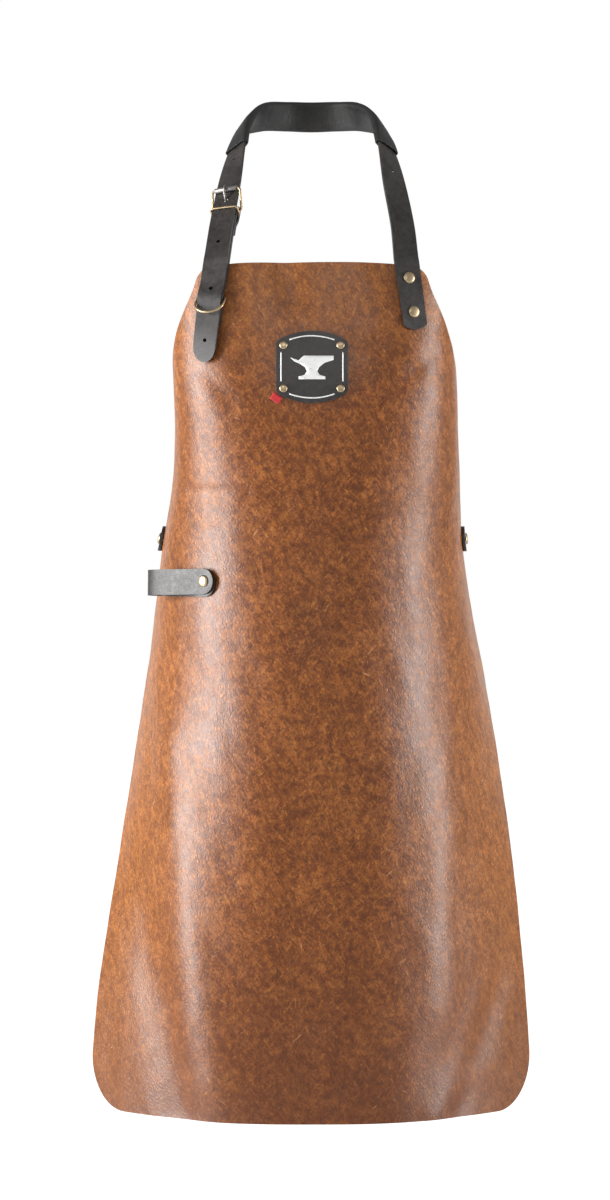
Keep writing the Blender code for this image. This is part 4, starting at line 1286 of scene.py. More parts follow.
@dataclass(frozen=True)
class Harness:
    """Sizes and the shared path of everything round the neck."""

    free_end: float = 0.100
    bib_end: float = 0.0625
    end_bulge: float = 0.0045
    bulge_length: float = 0.03
    tip_lift: float = 0.0015
    tip_length: float = 0.015
    low_head: float = 0.0008
    wire: float = 0.0026
    ring_drop: float = 0.0335
    ring_bump: float = 0.007
    first_hole: float = 0.022
    pitch: float = 0.053
    prong_hole: int = 3
    hole: float = 0.004
    prong_hole_width: float = 0.005
    spare_hole: float = 0.034
    sleeve_length: float = 0.280
    sleeve_width: float = 0.0314
    sleeve_height: float = 0.009
    sleeve_wall: float = 0.0015
    bib_stops: int = 10
    tip_stops: int = 25
    path: Path = field(init=False)

    def __post_init__(self) -> None:
        """Work out the path from the right end on the bib, round the nape, to the free end's tip."""
        object.__setattr__(self, "path", self.make_path())

    @property
    def layer(self) -> float:
        """Height from one strap of the left stack to the next."""
        return STRAP.wall + self.low_head + 2 * CLEARANCE

    @property
    def free_rise(self) -> float:
        """Height of the free end's middle over the sheet's middle."""
        return STRAP.on_sheet + self.layer

    @property
    def prong_at(self) -> float:
        """Distance along the path of the hole that the prong is in."""
        return self.path.length - self.first_hole - self.prong_hole * self.pitch

    @property
    def nape_at(self) -> float:
        """Distance along the path of the nape's middle."""
        return self.path.nearest(self.route_stop(NAPE, 0)[0])

    def route_stop(self, row: RoutePoint, side: float) -> tuple[Array, Array]:
        """Return centre and normal of one row of the route, on one side."""
        seat = aim(NAPE.facing, NAPE.rise, 0) * (self.sleeve_height / 2)
        spread = FORM.top_width / 2 - STRAP_INSET
        centre = np.array([side * row.spread * spread, -row.depth * FORM.depth,
                           -row.drop * FORM.neck_drop])
        return centre + seat, aim(row.facing, row.rise, side)

    def end_rise(self, t: Array) -> Array:
        """Return the height of the free end: over the ring's bar, and down to the tip."""
        bump_height = self.wire + CLEARANCE
        rise = bump_height * np.exp(-(((t - self.ring_drop) / self.ring_bump) ** 2))
        past = np.maximum(0, t - self.bib_end) / (self.free_end - self.bib_end)
        return self.free_rise + rise - (self.layer - self.tip_lift) * past**2

    def make_path(self) -> Path:
        """Return the neck strap's path."""
        drops = np.linspace(self.bib_end, 0, self.bib_stops)
        s = strap_across(drops)
        centres = list(FORM.over(s, drops, np.full(self.bib_stops, STRAP.on_sheet)))
        normals = list(FORM.normal(s, drops))
        centres.append(2 * centres[-1] - centres[-2])
        normals.append(normals[-1])
        stops = [self.route_stop(row, 1) for row in NECK_ROUTE]
        stops.append(self.route_stop(NAPE, 0))
        stops += [self.route_stop(row, -1) for row in reversed(NECK_ROUTE)]
        centres += [stop[0] for stop in stops]
        normals += [stop[1] for stop in stops]
        drops = np.linspace(0, self.free_end, self.tip_stops)
        s = -strap_across(drops)
        tip = list(FORM.over(s, drops, self.end_rise(drops)))
        lean = list(FORM.normal(s, drops))
        centres += [2 * tip[0] - tip[2], *tip]
        normals += [lean[0], *lean]
        return Path(np.array(centres), np.array(normals))


HARNESS = Harness()


@dataclass(frozen=True)
class NeckStrap:
    """Long strap with its punched holes, its two rivets and the soft sleeve at the nape."""

    rivets: tuple[float, float] = (0.0135, 0.0485)
    step: float = 0.004
    sleeve_columns: int = 32
    sleeve_rows: int = 110
    sleeve_crease: float = 0.0007
    sleeve_edge: float = 0.0004

    def build(self) -> None:
        """Build strap, rivets and sleeve."""
        self.build_strap()
        self.build_rivets()
        self.build_sleeve()

    def build_strap(self) -> Obj:
        """Build the strap and punch it."""
        rows = STRAP.rows(0, HARNESS.path.length, self.step, 0, HARNESS.tip_length)

        def place(v: Array, u: Array) -> Array:
            """Return points of the strap, with its right end bowed out."""
            bulge = HARNESS.end_bulge * (1 - (2 * u / STRAP.width) ** 2)
            fade = np.clip(1 - v / HARNESS.bulge_length, 0, 1)
            return HARNESS.path.place(v - bulge * fade, u)

        obj = STRAP.make("neck_strap_leather", rows, place)
        fix_shape(obj)
        spots = [(HARNESS.path.length - HARNESS.first_hole - k * HARNESS.pitch, HARNESS.hole)
                 for k in range(HARNESS.prong_hole + 2) if k != HARNESS.prong_hole]
        spots.append((HARNESS.prong_at, HARNESS.prong_hole_width))
        mouth = HARNESS.nape_at - HARNESS.sleeve_length / 2
        spots.append((mouth - HARNESS.spare_hole, HARNESS.hole))
        for v, width in spots:
            centre, _, _, out = HARNESS.path.frame(v)
            cut(obj, round_cutter(centre, out, width / 2, 2 * STRAP.wall))
        round_edges(obj, STRAP.edge, material=1)
        return deliver(obj, FINISHES.strap_layers, Slot.BLACK, "neck_strap")

    def build_rivets(self) -> None:
        """Rivet the strap's right end to the bib."""
        stack = STRAP.wall + CLEARANCE + FORM.wall
        for label, t in zip(("upper", "lower"), self.rivets):
            s = strap_across(t)
            seat = FORM.over(s, t, STRAP.on_sheet + STRAP.wall / 2)
            Rivet().build(f"right_cap_{label}", seat, FORM.normal(s, t), stack,
                          f"strap_rivet_right_{label}")

    def build_sleeve(self) -> Obj:
        """Build the soft tube, slightly creased along its length."""
        path, middle = HARNESS.path, HARNESS.nape_at

        def corner(i: Array, j: Array) -> Array:
            """Return the places of the grid's corners, round and along the tube."""
            turn = 2 * np.pi * i / self.sleeve_columns
            share = j / self.sleeve_rows
            c, s = np.cos(turn), np.sin(turn)
            v = middle + HARNESS.sleeve_length * (share - 0.5)
            wave = np.sin(9 * np.pi * share + 1.3 * np.sin(turn)) * np.sin(2 * turn + 4 * share)
            crease = self.sleeve_crease * wave
            half_u = (HARNESS.sleeve_width - HARNESS.sleeve_wall) / 2
            half_n = (HARNESS.sleeve_height - HARNESS.sleeve_wall) / 2 + crease
            u = np.sign(c) * np.sqrt(np.abs(c)) * half_u
            n = np.sign(s) * np.sqrt(np.abs(s)) * half_n
            return path.place(v, u, n)

        def flat(i: Array, j: Array) -> Array:
            """Return the flat places of the grid's corners."""
            girth = 2 * (HARNESS.sleeve_width + HARNESS.sleeve_height)
            return np.stack([girth * i / self.sleeve_columns,
                             HARNESS.sleeve_length * j / self.sleeve_rows], -1)

        obj = mapped_grid("nape_sleeve_leather", self.sleeve_columns, self.sleeve_rows, corner, flat,
                          closed=True)
        add_wall(obj, HARNESS.sleeve_wall)
        round_edges(obj, self.sleeve_edge, 2)
        return deliver(obj, [FINISHES.soft], Slot.SOFT, "neck_sleeve")


@dataclass(frozen=True)
class Buckle:
    """Adjusting buckle: short strap, wire frame, roller, prong, keeper, D ring and low rivets."""

    heel: float = 0.0095
    fold_lap: float = 0.031
    lap_step: float = 0.004
    width: float = 0.0318
    roller_reach: float = 0.0107
    roller_width: float = 0.0052
    roller_length: float = 0.0245
    roller_wall: float = 0.0009
    prong: float = 0.0024
    prong_points: int = 70
    prong_thinned: int = 10
    prong_thinning: float = 0.045
    lap_points: int = 130
    keeper_wire: float = 0.0022
    keeper_width: float = 0.0296
    keeper_reach: float = 0.0055
    keeper_corner: float = 0.0026
    ring_width: float = 0.0304
    ring_depth: float = 0.021
    ring_shoulder: float = 0.009
    ring_lean: float = math.radians(32)
    ring_corner: float = 0.002
    low_width: float = 0.009
    upper_rivet: float = 0.016
    rivet_pitch: float = 0.035

    @property
    def fold_radius(self) -> float:
        """Radius of the short strap's middle round the heel bar."""
        return HARNESS.wire / 2 + CLEARANCE + STRAP.wall / 2

    @property
    def heel_rise(self) -> float:
        """Height of the heel bar from the long strap's middle."""
        return -(HARNESS.layer + self.fold_radius)

    @property
    def roller_rise(self) -> float:
        """Height of the roller's middle from the long strap's middle."""
        return STRAP.wall / 2 + CLEARANCE + self.roller_width / 2

    def place(self, w: Array, u: Array, n: Array) -> Array:
        """Return points at w below the prong's hole, u across and n out."""
        return HARNESS.path.place(HARNESS.prong_at + np.asarray(w, float), u, n)

    def build(self) -> None:
        """Build every piece of the buckle."""
        self.build_strap()
        self.build_low_rivets()
        self.build_frame()
        self.build_roller()
        self.build_prong()
        self.build_keeper()
        self.build_ring()

    def lap_line(self) -> Array:
        """Return the short strap's line as pairs of w and n: lap, fold round the bar, run down."""
        under = -HARNESS.layer - STRAP.wall - CLEARANCE
        lap = [
            (self.heel + self.fold_lap, under),
            (self.heel + 0.85 * self.fold_lap, under),
            (self.heel + 0.62 * self.fold_lap, under),
            (self.heel + 0.38 * self.fold_lap, self.heel_rise - 0.86 * self.fold_radius),
            (self.heel + 0.24 * self.fold_lap, self.heel_rise - self.fold_radius),
            (self.heel + 0.10 * self.fold_lap, self.heel_rise - self.fold_radius),
        ]
        for k in range(13):
            turn = math.pi * k / 12
            lap.append((self.heel - self.fold_radius * math.sin(turn),
                        self.heel_rise - self.fold_radius * math.cos(turn)))
        foot = FORM.over(-strap_across(HARNESS.bib_end), HARNESS.bib_end, HARNESS.free_rise)
        length = HARNESS.path.nearest(foot) - HARNESS.prong_at - self.heel
        count = round(length / self.lap_step)
        lap += [(self.heel + length * k / count, -HARNESS.layer) for k in range(1, count + 1)]
        return np.array(lap)

    def build_strap(self) -> Obj:
        """Build the short strap, folded round the heel bar, with its slot for the prong."""
        lap = smooth_line(self.lap_line(), self.lap_points)
        gaps = np.linalg.norm(np.diff(lap, axis=0), axis=1)
        along = np.concatenate([[0], np.cumsum(gaps)])

        def aside(i: Array) -> Array:
            """Return the distances from the strap's middle."""
            return (i / STRAP.columns - 0.5) * STRAP.width

        def corner(i: Array, j: Array) -> Array:
            """Return the places of the grid's corners."""
            return self.place(lap[j, 0], aside(i), lap[j, 1])

        def flat(i: Array, j: Array) -> Array:
            """Return the flat places of the grid's corners."""
            return np.stack([aside(i), along[j]], -1)

        obj = mapped_grid("buckle_strap_leather", STRAP.columns, len(lap) - 1, corner, flat)
        add_wall(obj, STRAP.wall)
        fix_shape(obj)
        centre, ahead, across, out = HARNESS.path.frame(HARNESS.prong_at + self.heel)
        eye = HARNESS.wire / 2 + CLEARANCE + self.prong
        sizes = (self.prong + 4 * CLEARANCE, 2 * (eye + CLEARANCE), 2 * (self.fold_radius + STRAP.wall))
        cut(obj, box_cutter(centre + out * self.heel_rise, (across, ahead, out), sizes))
        round_edges(obj, STRAP.edge, material=1)
        return deliver(obj, FINISHES.strap_layers, Slot.BLACK, "buckle_strap")

    def build_low_rivets(self) -> None:
        """Build the flat rivets under the free end."""
        low = Rivet(width=self.low_width, height=HARNESS.low_head)
        stack = STRAP.wall + CLEARANCE + FORM.wall
        for label, t in (("upper", self.upper_rivet), ("lower", self.upper_rivet + self.rivet_pitch)):
            s = -strap_across(t)
            rise = float(HARNESS.end_rise(np.asarray(t))) - HARNESS.layer + STRAP.wall / 2
            spare = rise - STRAP.on_sheet - STRAP.wall / 2
            low.build(f"left_cap_{label}", FORM.over(s, t, rise), FORM.normal(s, t), stack + spare,
                      f"strap_rivet_left_{label}")
        w = self.heel + 0.82 * self.fold_lap
        out = HARNESS.path.frame(HARNESS.prong_at + w)[3]
        seat = self.place(w, 0, -HARNESS.layer + STRAP.wall / 2)
        low.build("fold_cap", seat, out, 2 * STRAP.wall + CLEARANCE, "strap_rivet_fold")

    def build_frame(self) -> Obj:
        """Build the wire frame, round at its corners."""
        slope = (self.roller_rise - self.heel_rise) / (self.heel + self.roller_reach)
        outline = round_box(self.width / 2, -self.roller_reach, self.heel, 1.2 * HARNESS.wire, count=9)
        points = [self.place(w, u, self.heel_rise + slope * (self.heel - w)) for u, w in outline]
        obj = wire("buckle_frame_wire", np.array(points), HARNESS.wire, cyclic=True)
        return deliver(obj, [FINISHES.brass], Slot.BRASS, "buckle_frame")

    def build_roller(self) -> Obj:
        """Build the steel tube on the frame's top bar, with rolled ends."""
        outer, half = self.roller_width / 2, self.roller_length / 2
        inner = min(HARNESS.wire / 2 + CLEARANCE, outer - self.roller_wall)
        soft = 0.25 * self.roller_wall
        profile = [(outer - soft, half), (outer, half - soft), (outer, soft - half),
                   (outer - soft, -half), (inner, -half), (inner, half), (outer - soft, half)]
        across = HARNESS.path.frame(HARNESS.prong_at - self.roller_reach)[2]
        seat = self.place(-self.roller_reach, 0, self.roller_rise)
        obj = turned("roller_tube", profile, seat, across)
        return deliver(obj, [FINISHES.steel], Slot.STEEL, "buckle_roller")

    def build_prong(self) -> Obj:
        """Build the prong: an eye round the heel bar, up through the hole and over the roller."""
        eye = HARNESS.wire / 2 + CLEARANCE + self.prong / 2
        touch = STRAP.wall / 2 + CLEARANCE + self.prong / 2
        over = self.roller_rise + self.roller_width / 2 + CLEARANCE + self.prong / 2
        route = []
        for turn in np.radians(np.linspace(-140, 110, 16)):
            route.append((self.heel + eye * math.cos(turn), self.heel_rise + eye * math.sin(turn)))
        reach = self.roller_reach
        route += [
            (0.26 * self.heel, -1.12 * touch),
            (0.08 * self.heel, -0.72 * touch),
            (0.01 * self.heel, -0.20 * touch),
            (-0.03 * reach, 0.42 * touch),
            (-0.12 * reach, 1.05 * touch),
            (-0.80 * reach, 0.98 * over),
            (-1.00 * reach, 1.01 * over),
            (-1.25 * reach, 0.96 * over),
            (-1.36 * reach, 0.86 * over),
        ]
        line = smooth_line(np.array(route), self.prong_points)
        taper = [1.0] * (self.prong_points - self.prong_thinned)
        taper += [1 - self.prong_thinning * k for k in range(1, self.prong_thinned + 1)]
        points = self.place(line[:, 0], 0, line[:, 1])
        obj = wire("prong_wire", points, self.prong, taper=taper)
        return deliver(obj, [FINISHES.steel], Slot.STEEL, "buckle_prong")

    def build_keeper(self) -> Obj:
        """Build the wire loop that holds the free strap to the fold."""
        back = np.array([self.heel + self.keeper_reach, self.heel_rise])
        rise = STRAP.wall / 2 + CLEARANCE + self.keeper_wire / 2
        front = np.array([self.heel + 0.2 * self.keeper_reach, rise])
        depth = float(np.linalg.norm(front - back))
        points = []
        for u, d in round_box(self.keeper_width / 2, 0, depth, self.keeper_corner, count=7):
            w, n = back + (front - back) * (d / depth)
            points.append(self.place(w, u, n))
        obj = wire("keeper_loop", np.array(points), self.keeper_wire, cyclic=True)
        return deliver(obj, [FINISHES.brass], Slot.BRASS, "keeper_wire")

    def build_ring(self) -> Obj:
        """Build the D ring: its bar under the short strap, its bow in front of the free end."""
        drop = HARNESS.ring_drop
        top = FORM.over(-strap_across(drop), drop, HARNESS.end_rise(np.asarray(drop)))
        centre, along, across, out = HARNESS.path.frame(HARNESS.path.nearest(top))
        lean = along * math.cos(self.ring_lean) + out * math.sin(self.ring_lean)
        seat = centre + out * self.heel_rise
        half, corner = self.ring_width / 2, self.ring_corner
        outline = [(-half + corner, 0.0), (half - corner, 0.0), (half - 0.3 * corner, 0.3 * corner)]
        outline += [(half, corner)]
        for turn in np.linspace(0, math.pi, 33):
            bow = self.ring_shoulder + (self.ring_depth - self.ring_shoulder) * math.sin(turn)
            outline.append((half * math.cos(turn), bow))
        outline += [(-half, corner), (-half + 0.3 * corner, 0.3 * corner)]
        points = np.array([seat + across * u + lean * d for u, d in outline])
        obj = wire("ring_wire", points, HARNESS.wire, cyclic=True)
        return deliver(obj, [FINISHES.brass], Slot.BRASS, "d_ring")


# Plain anvil, as shares of its half width across and of its height up.
ANVIL = (
    (-1.00, 0.92), (-0.62, 0.80), (-0.38, 1.00), (1.00, 1.00), (1.00, 0.82), (0.58, 0.70),
    (0.34, 0.52), (0.24, 0.34), (0.36, 0.18), (0.62, 0.12), (0.62, 0.00), (-0.62, 0.00),
    (-0.62, 0.12), (-0.36, 0.18), (-0.24, 0.34), (-0.34, 0.52), (-0.55, 0.64), (-0.82, 0.76),
)


@dataclass(frozen=True)
class Badge:
    """Black leather badge with four rivets, a plain anvil in a line border, and the ribbon tab."""

    width: float = 0.072
    height: float = 0.0725
    side: float = 0.0515
    corner: float = 0.004
    wall: float = 0.0018
    drop: float = 0.1063
    rivet_across: float = 0.057
    rivet_down: float = 0.0432
    line: float = 0.0013
    inset: float = 0.0052
    ink: float = 0.00012
    border_top: float = 0.0225
    border_side: float = 0.0145
    border_cells: int = 24
    anvil_half: float = 0.0215
    anvil_height: float = 0.0235
    anvil_foot: float = -0.0125
    edge_round: float = 0.0005
    rivet: Rivet = Rivet(width=0.008, height=0.0016)
    rows: int = 24
    tab_width: float = 0.0104
    tab_length: float = 0.0074
    tab_turn: float = math.radians(34)
    tab_layer: float = 0.0004
    tab_fold: float = 0.00042
    tab_columns: int = 8
    tab_cell: tuple[float, float] = (0.0013, 0.0008)

    @property
    def rise(self) -> float:
        """Height of the badge's middle over the sheet's middle."""
        return FORM.wall / 2 + CLEARANCE + self.wall / 2

    def edge(self, s: Array) -> Array:
        """Return half of the height at a distance across."""
        half = self.width / 2
        bow = (self.height - self.side) / 2 * (1 - (s / half) ** 2)
        return self.side / 2 + bow - corner_cut(half - np.abs(s), self.corner)

    def build(self) -> None:
        """Build the plate, its print, rivets and tab."""
        self.build_plate()
        self.build_rivets()
        self.build_border()
        self.build_anvil()
        self.build_tab()

    def build_plate(self) -> Obj:
        """Build the plate with bowed top and bottom."""
        half, inner = self.width / 2, self.width / 2 - self.corner
        turns = np.radians(CORNER_TURNS)
        ends = half - self.corner * (1 - np.cos(turns[::-1]))
        arc = np.concatenate([np.linspace(0, inner, 18), ends])
        stations = np.concatenate([-arc[:0:-1], arc])

        def flat(i: Array, j: Array) -> Array:
            """Return the flat places of the grid's corners."""
            s = stations[i]
            return np.stack([s, self.edge(s) * (2 * j / self.rows - 1)], -1)

        def corner(i: Array, j: Array) -> Array:
            """Return the places of the grid's corners."""
            s, down = flat(i, j).T
            return FORM.over(s, self.drop + down, np.full(s.shape, self.rise))

        obj = mapped_grid("badge_plate", len(stations) - 1, self.rows, corner, flat, flip=True)
        add_wall(obj, self.wall)
        round_edges(obj, self.edge_round, 2, material=1)
        return deliver(obj, FINISHES.strap_layers, Slot.BLACK, "badge")

    def build_rivets(self) -> None:
        """Build the four small rivets."""
        stack = self.wall + CLEARANCE + FORM.wall
        for row, down in (("upper", -1), ("lower", 1)):
            for side in Side:
                s = side.value * self.rivet_across / 2
                t = self.drop + down * self.rivet_down / 2
                label = f"{row}_{side.name.lower()}"
                seat = FORM.over(s, t, self.rise + self.wall / 2)
                self.rivet.build(f"badge_cap_{label}", seat, FORM.normal(s, t), stack,
                                 f"badge_rivet_{label}")

    def print_up(self, name: str, bm: bmesh.types.BMesh) -> Obj:
        """Lay a flat print, drawn as s and drop from the badge's middle, on the badge."""
        spots = np.array([vert.co[:2] for vert in bm.verts])
        rise = np.full(len(spots), self.rise + self.wall / 2 + self.ink)
        points = FORM.over(spots[:, 0], self.drop - spots[:, 1], rise)
        for vert, point in zip(bm.verts, points):
            vert.co = point
        bmesh.ops.recalc_face_normals(bm, faces=bm.faces)
        obj = mesh_object(name, bm)
        add_wall(obj, 2 * self.ink)
        return deliver(obj, [FINISHES.ink], Slot.BLACK)

    def build_border(self) -> None:
        """Build four border lines that stop short of the rivets."""
        side_s = self.width / 2 - self.inset
        for down in (-1, 1):
            bm = bmesh.new()
            bmesh.ops.create_grid(bm, x_segments=self.border_cells, y_segments=1, size=1)
            for vert in bm.verts:
                s = vert.co.x * self.border_top
                vert.co = (s, down * (self.edge(s) - self.inset + vert.co.y * self.line / 2), 0)
            self.print_up("border_upper" if down > 0 else "border_lower", bm)
        for side in Side:
            bm = bmesh.new()
            bmesh.ops.create_grid(bm, x_segments=1, y_segments=self.border_cells // 2, size=1)
            for vert in bm.verts:
                s = side.value * side_s + vert.co.x * self.line / 2
                vert.co = (s, vert.co.y * self.border_side, 0)
            self.print_up(f"border_{side.name.lower()}", bm)

    def build_anvil(self) -> Obj:
        """Build the anvil."""
        bm = bmesh.new()
        verts = [bm.verts.new((self.anvil_half * x, self.anvil_foot + self.anvil_height * y, 0))
                 for x, y in ANVIL]
        bm.faces.new(verts)
        bmesh.ops.triangulate(bm, faces=bm.faces, quad_method="BEAUTY", ngon_method="BEAUTY")
        bmesh.ops.subdivide_edges(bm, edges=bm.edges, cuts=2, use_grid_fill=True)
        return self.print_up("anvil_print", bm)

    def build_tab(self) -> Obj:
        """Build the ribbon, folded on itself and held under the badge's corner."""
        down = np.array([-math.sin(self.tab_turn), math.cos(self.tab_turn)])
        across = np.array([math.cos(self.tab_turn), math.sin(self.tab_turn)])
        root = np.array([-self.width / 2, self.drop + self.side / 2])
        root = root + across * (0.3 * self.tab_width) + down * (2 * CLEARANCE)
        low = FORM.wall / 2 + CLEARANCE + self.tab_layer / 2
        line = [(k * self.tab_length / 5, low) for k in range(5)]
        radius = self.tab_fold
        for turn in np.linspace(-90, 90, 9):
            a = math.radians(turn)
            line.append((self.tab_length - radius * (1 - math.cos(a)),
                         low + radius * (1 + math.sin(a))))
        line += [(k * self.tab_length / 5, low + 2 * radius) for k in range(4, -1, -1)]
        route = np.array(line)

        def corner(i: Array, j: Array) -> Array:
            """Return the places of the grid's corners."""
            u = self.tab_width * (i / self.tab_columns - 0.5)
            at = root + across * u[:, None] + down * route[j, :1]
            return FORM.over(at[:, 0], at[:, 1], route[j, 1])

        def flat(i: Array, j: Array) -> Array:
            """Return the flat places of the grid's corners."""
            return np.stack([i * self.tab_cell[0], j * self.tab_cell[1]], -1)

        obj = mapped_grid("ribbon_tab", self.tab_columns, len(route) - 1, corner, flat)
        add_wall(obj, self.tab_layer)
        return deliver(obj, [FINISHES.ribbon], Slot.RIBBON, "red_tab")


@dataclass(frozen=True)
class SideLoop:
    """Folded loop on the left side, with its rivet."""

    across: float = 0.1145
    drop: float = 0.320
    reach: float = 0.079
    end: float = 0.012
    gape: float = 0.0105
    skew: float = 0.003
    step: float = 0.0025

    def build(self) -> Obj:
        """Build the loop and its rivet."""
        out = FORM.normal(-self.across, self.drop)
        away = unit(np.cross(out, (0, 0, 1)))
        origin = FORM.point(-self.across, self.drop)
        up = np.cross(away, out)
        layer = STRAP.wall + CLEARANCE
        stops = [(-self.end, STRAP.on_sheet + layer)]
        stops += [(row.reach * self.reach, STRAP.on_sheet + row.layer * layer + row.gape * self.gape)
                  for row in LOOP_ROUTE]
        stops.append((-self.end, STRAP.on_sheet))
        centres = np.array([origin + away * reach + out * rise for reach, rise in stops])
        centres = centres - up * (self.skew * np.linspace(0, 1, len(centres)))[:, None]
        chords = np.gradient(centres, axis=0)
        path = Path(centres, unit(np.cross(up, chords)))
        rows = STRAP.rows(0, path.length, self.step, STRAP.width / 2, STRAP.width / 2)
        obj = STRAP.make("side_loop_leather", rows, path.place)
        round_edges(obj, STRAP.edge, material=1)
        seat = origin + out * (STRAP.on_sheet + layer + STRAP.wall / 2)
        Rivet().build("side_loop_cap", seat, out, 2 * STRAP.wall + 2 * CLEARANCE + FORM.wall,
                      "side_loop_rivet")
        return deliver(obj, FINISHES.strap_layers, Slot.BLACK, "side_loop")


@dataclass(frozen=True)
class WaistBelt:
    """Both halves of the waist belt, their rivets and the clasp at the back."""

    drop: float = 0.276
    tip: float = 0.216
    rivet: float = 0.014
    back: float = 0.041
    gap: float = 0.002
    clearance: float = 0.0009
    clasp: tuple[float, float, float] = (0.046, 0.0095, 0.036)
    clasp_clearance: float = 0.0006
    clasp_edge: float = 0.0012
    step: float = 0.005
    stops: int = 9

    @property
    def rise(self) -> float:
        """Height of the belt's middle over the sheet's middle."""
        return FORM.wall / 2 + self.clearance + STRAP.wall / 2

    def path(self, side: int) -> Path:
        """Return the path of one half, from its riveted tip to the middle of the back."""
        edge_s = float(FORM.half_width(np.asarray(self.drop)))
        edge = FORM.over(side * edge_s, self.drop, self.rise)
        s = side * np.linspace(self.tip, edge_s, self.stops)
        drops = np.full(self.stops, self.drop)
        centres = list(FORM.over(s, drops, np.full(self.stops, self.rise)))
        normals = list(FORM.normal(s, drops))
        for row in BELT_ROUTE:
            centres.append(np.array([edge[0] * row.side, edge[1] + (self.back - edge[1]) * row.back,
                                     edge[2]]))
        centres.append(np.array([side * self.gap / 2, self.back, edge[2]]))
        for k in range(self.stops, len(centres)):
            chord = centres[min(k + 1, len(centres) - 1)] - centres[k - 1]
            normals.append(unit(np.array([chord[1] * side, -chord[0] * side, 0.0])))
        return Path(np.array(centres), np.array(normals))

    def build(self) -> None:
        """Build belt, rivets and clasp."""
        level = 0.0
        for side in Side:
            label = side.name.lower()
            path = self.path(side.value)
            rows = STRAP.rows(0, path.length, self.step, STRAP.width / 2, 0)
            obj = STRAP.make(f"waist_strap_leather_{label}", rows, path.place)
            round_edges(obj, STRAP.edge, material=1)
            deliver(obj, FINISHES.strap_layers, Slot.BLACK, f"waist_strap_{label}")
            s = side.value * (self.tip + self.rivet)
            seat = FORM.over(s, self.drop, self.rise + STRAP.wall / 2)
            Rivet().build(f"waist_cap_{label}", seat, FORM.normal(s, self.drop),
                          STRAP.wall + self.clearance + FORM.wall, f"waist_rivet_{label}")
            level = float(path.centres[-1][2])
        self.build_clasp(level)

    def build_clasp(self, level: float) -> Obj:
        """Build the plain clasp, a round-edged sleeve over both ends."""
        bm = bmesh.new()
        bmesh.ops.create_cube(bm, size=1)
        bmesh.ops.transform(bm, matrix=Matrix.Translation((0, self.back, level))
                            @ Matrix.Diagonal((*self.clasp, 1)), verts=bm.verts)
        obj = mesh_object("clasp_sleeve", bm)
        spare = 2 * self.clasp_clearance
        sizes = (2 * self.clasp[0], STRAP.wall + spare, STRAP.width + spare)
        axes = ((1, 0, 0), (0, 1, 0), (0, 0, 1))
        cut(obj, box_cutter(np.array([0, self.back, level]), axes, sizes))
        round_edges(obj, self.clasp_edge, 4)
        return deliver(obj, [FINISHES.brass], Slot.BRASS, "waist_clasp")


@dataclass(frozen=True)
class Softbox:
    """One soft light: degrees from the front towards the right, height, distance, size and power."""

    name: str
    azimuth: float
    height: float
    distance: float
    size: tuple[float, float]
    power: float


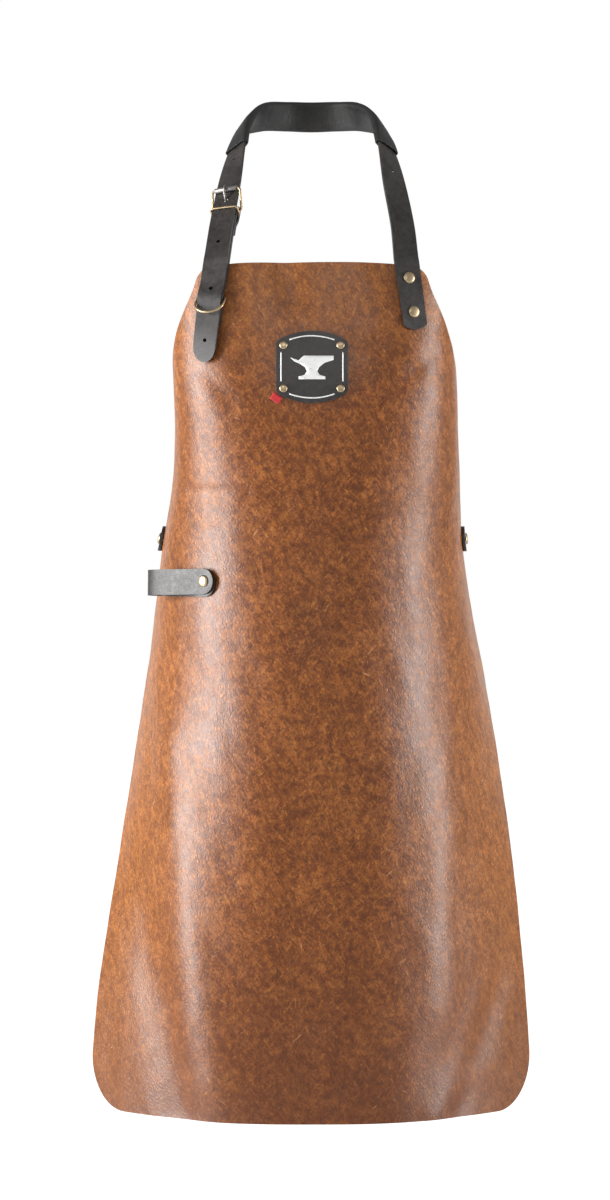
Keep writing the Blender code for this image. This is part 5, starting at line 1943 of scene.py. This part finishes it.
@dataclass(frozen=True)
class Studio:
    """Pale floor, soft lights and the camera."""

    target: tuple[float, float, float] = (0.0, -0.12, -0.60)
    floor_level: float = -1.5
    floor_size: float = 30.0
    floor_glow: float = 0.9
    camera: tuple[float, float, float] = (-0.007, -4.185, -0.504)
    lens: float = 120.0
    ambient: float = 0.30
    boxes: tuple[Softbox, ...] = (
        Softbox("key_left", -78, 0.30, 2.2, (0.85, 1.5), 74),
        Softbox("key_right", 80, 0.25, 2.4, (0.6, 1.5), 43),
        Softbox("back_left", -150, 0.3, 2.6, (1.0, 1.8), 5),
        Softbox("back_right", 150, 0.3, 2.6, (1.0, 1.8), 5),
        Softbox("front_top", 0, 1.6, 3.2, (2.0, 1.0), 14),
    )

    def build(self) -> None:
        """Build floor, lights, world and camera."""
        self.build_floor()
        for box in self.boxes:
            self.build_light(box)
        self.build_world()
        self.build_camera()

    def build_floor(self) -> None:
        """Build the pale floor."""
        bm = bmesh.new()
        bmesh.ops.create_grid(bm, x_segments=1, y_segments=1, size=self.floor_size)
        bmesh.ops.translate(bm, vec=(0, 0, self.floor_level), verts=bm.verts)
        floor = mesh_object("floor", bm)
        material, graph, shader, vector = start_material("pale_floor", Coat.BODY)
        haze = graph.noise(vector, 0.8, 2, 0.5)
        colour = graph.mix(haze, (0.90, 0.90, 0.90, 1), (0.93, 0.93, 0.93, 1))
        seen = graph.add("ShaderNodeLightPath").outputs["Is Camera Ray"]
        glow = graph.math("MULTIPLY", seen, self.floor_glow)
        dress(graph, shader, colour, 0.9, {"Emission Color": WHITE, "Emission Strength": glow})
        floor.data.materials.append(material)
        floor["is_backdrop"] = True

    def build_light(self, box: Softbox) -> None:
        """Build one soft light that faces the target."""
        light = bpy.data.lights.new(box.name, "AREA")
        light.shape = "RECTANGLE"
        light.size, light.size_y = box.size
        light.energy = box.power
        obj = link_object(box.name, light)
        turn = math.radians(box.azimuth)
        target = Vector(self.target)
        away = Vector((math.sin(turn) * box.distance, -math.cos(turn) * box.distance, box.height))
        obj.location = target + away
        obj.rotation_euler = (target - obj.location).to_track_quat("-Z", "Y").to_euler()
        obj.visible_camera = False

    def build_world(self) -> None:
        """Build an even pale world, white to the camera."""
        world = bpy.data.worlds.new("studio")
        world.use_nodes = True
        graph = Graph(world.node_tree)
        nodes = world.node_tree.nodes
        soft = nodes["Background"]
        soft.inputs["Color"].default_value = WHITE
        soft.inputs["Strength"].default_value = self.ambient
        bright = graph.add("ShaderNodeBackground", {"Color": WHITE, "Strength": 1.0})
        seen = graph.add("ShaderNodeLightPath").outputs["Is Camera Ray"]
        mixed = graph.add("ShaderNodeMixShader", {0: seen, 1: soft.outputs[0], 2: bright.outputs[0]})
        world.node_tree.links.new(mixed.outputs[0], nodes["World Output"].inputs["Surface"])
        bpy.context.scene.world = world

    def build_camera(self) -> None:
        """Build the camera, level and square to the apron's front."""
        camera = bpy.data.cameras.new("camera")
        camera.lens = self.lens
        camera.sensor_width = 36.0
        obj = link_object("camera", camera)
        obj.location = self.camera
        obj.rotation_euler = (math.radians(90), 0, 0)
        bpy.context.scene.camera = obj
        bpy.context.scene.view_settings.view_transform = "Standard"


def write_sizes() -> None:
    """Work out the finished model's box beside the CAD model's, and keep neither."""
    boxes = {"cad": CAD_BOX, "visual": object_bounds()}
    {name: [list(corner) for corner in box] for name, box in boxes.items()}


def main() -> None:
    """Build the apron piece by piece, then its studio."""
    logging.basicConfig(level=logging.INFO, format="%(name)s: %(message)s")
    NeckStrap().build()
    Buckle().build()
    Badge().build()
    SideLoop().build()
    WaistBelt().build()
    ApronBody().build()
    Studio().build()
    write_sizes()


if __name__ == "__main__":
    main()
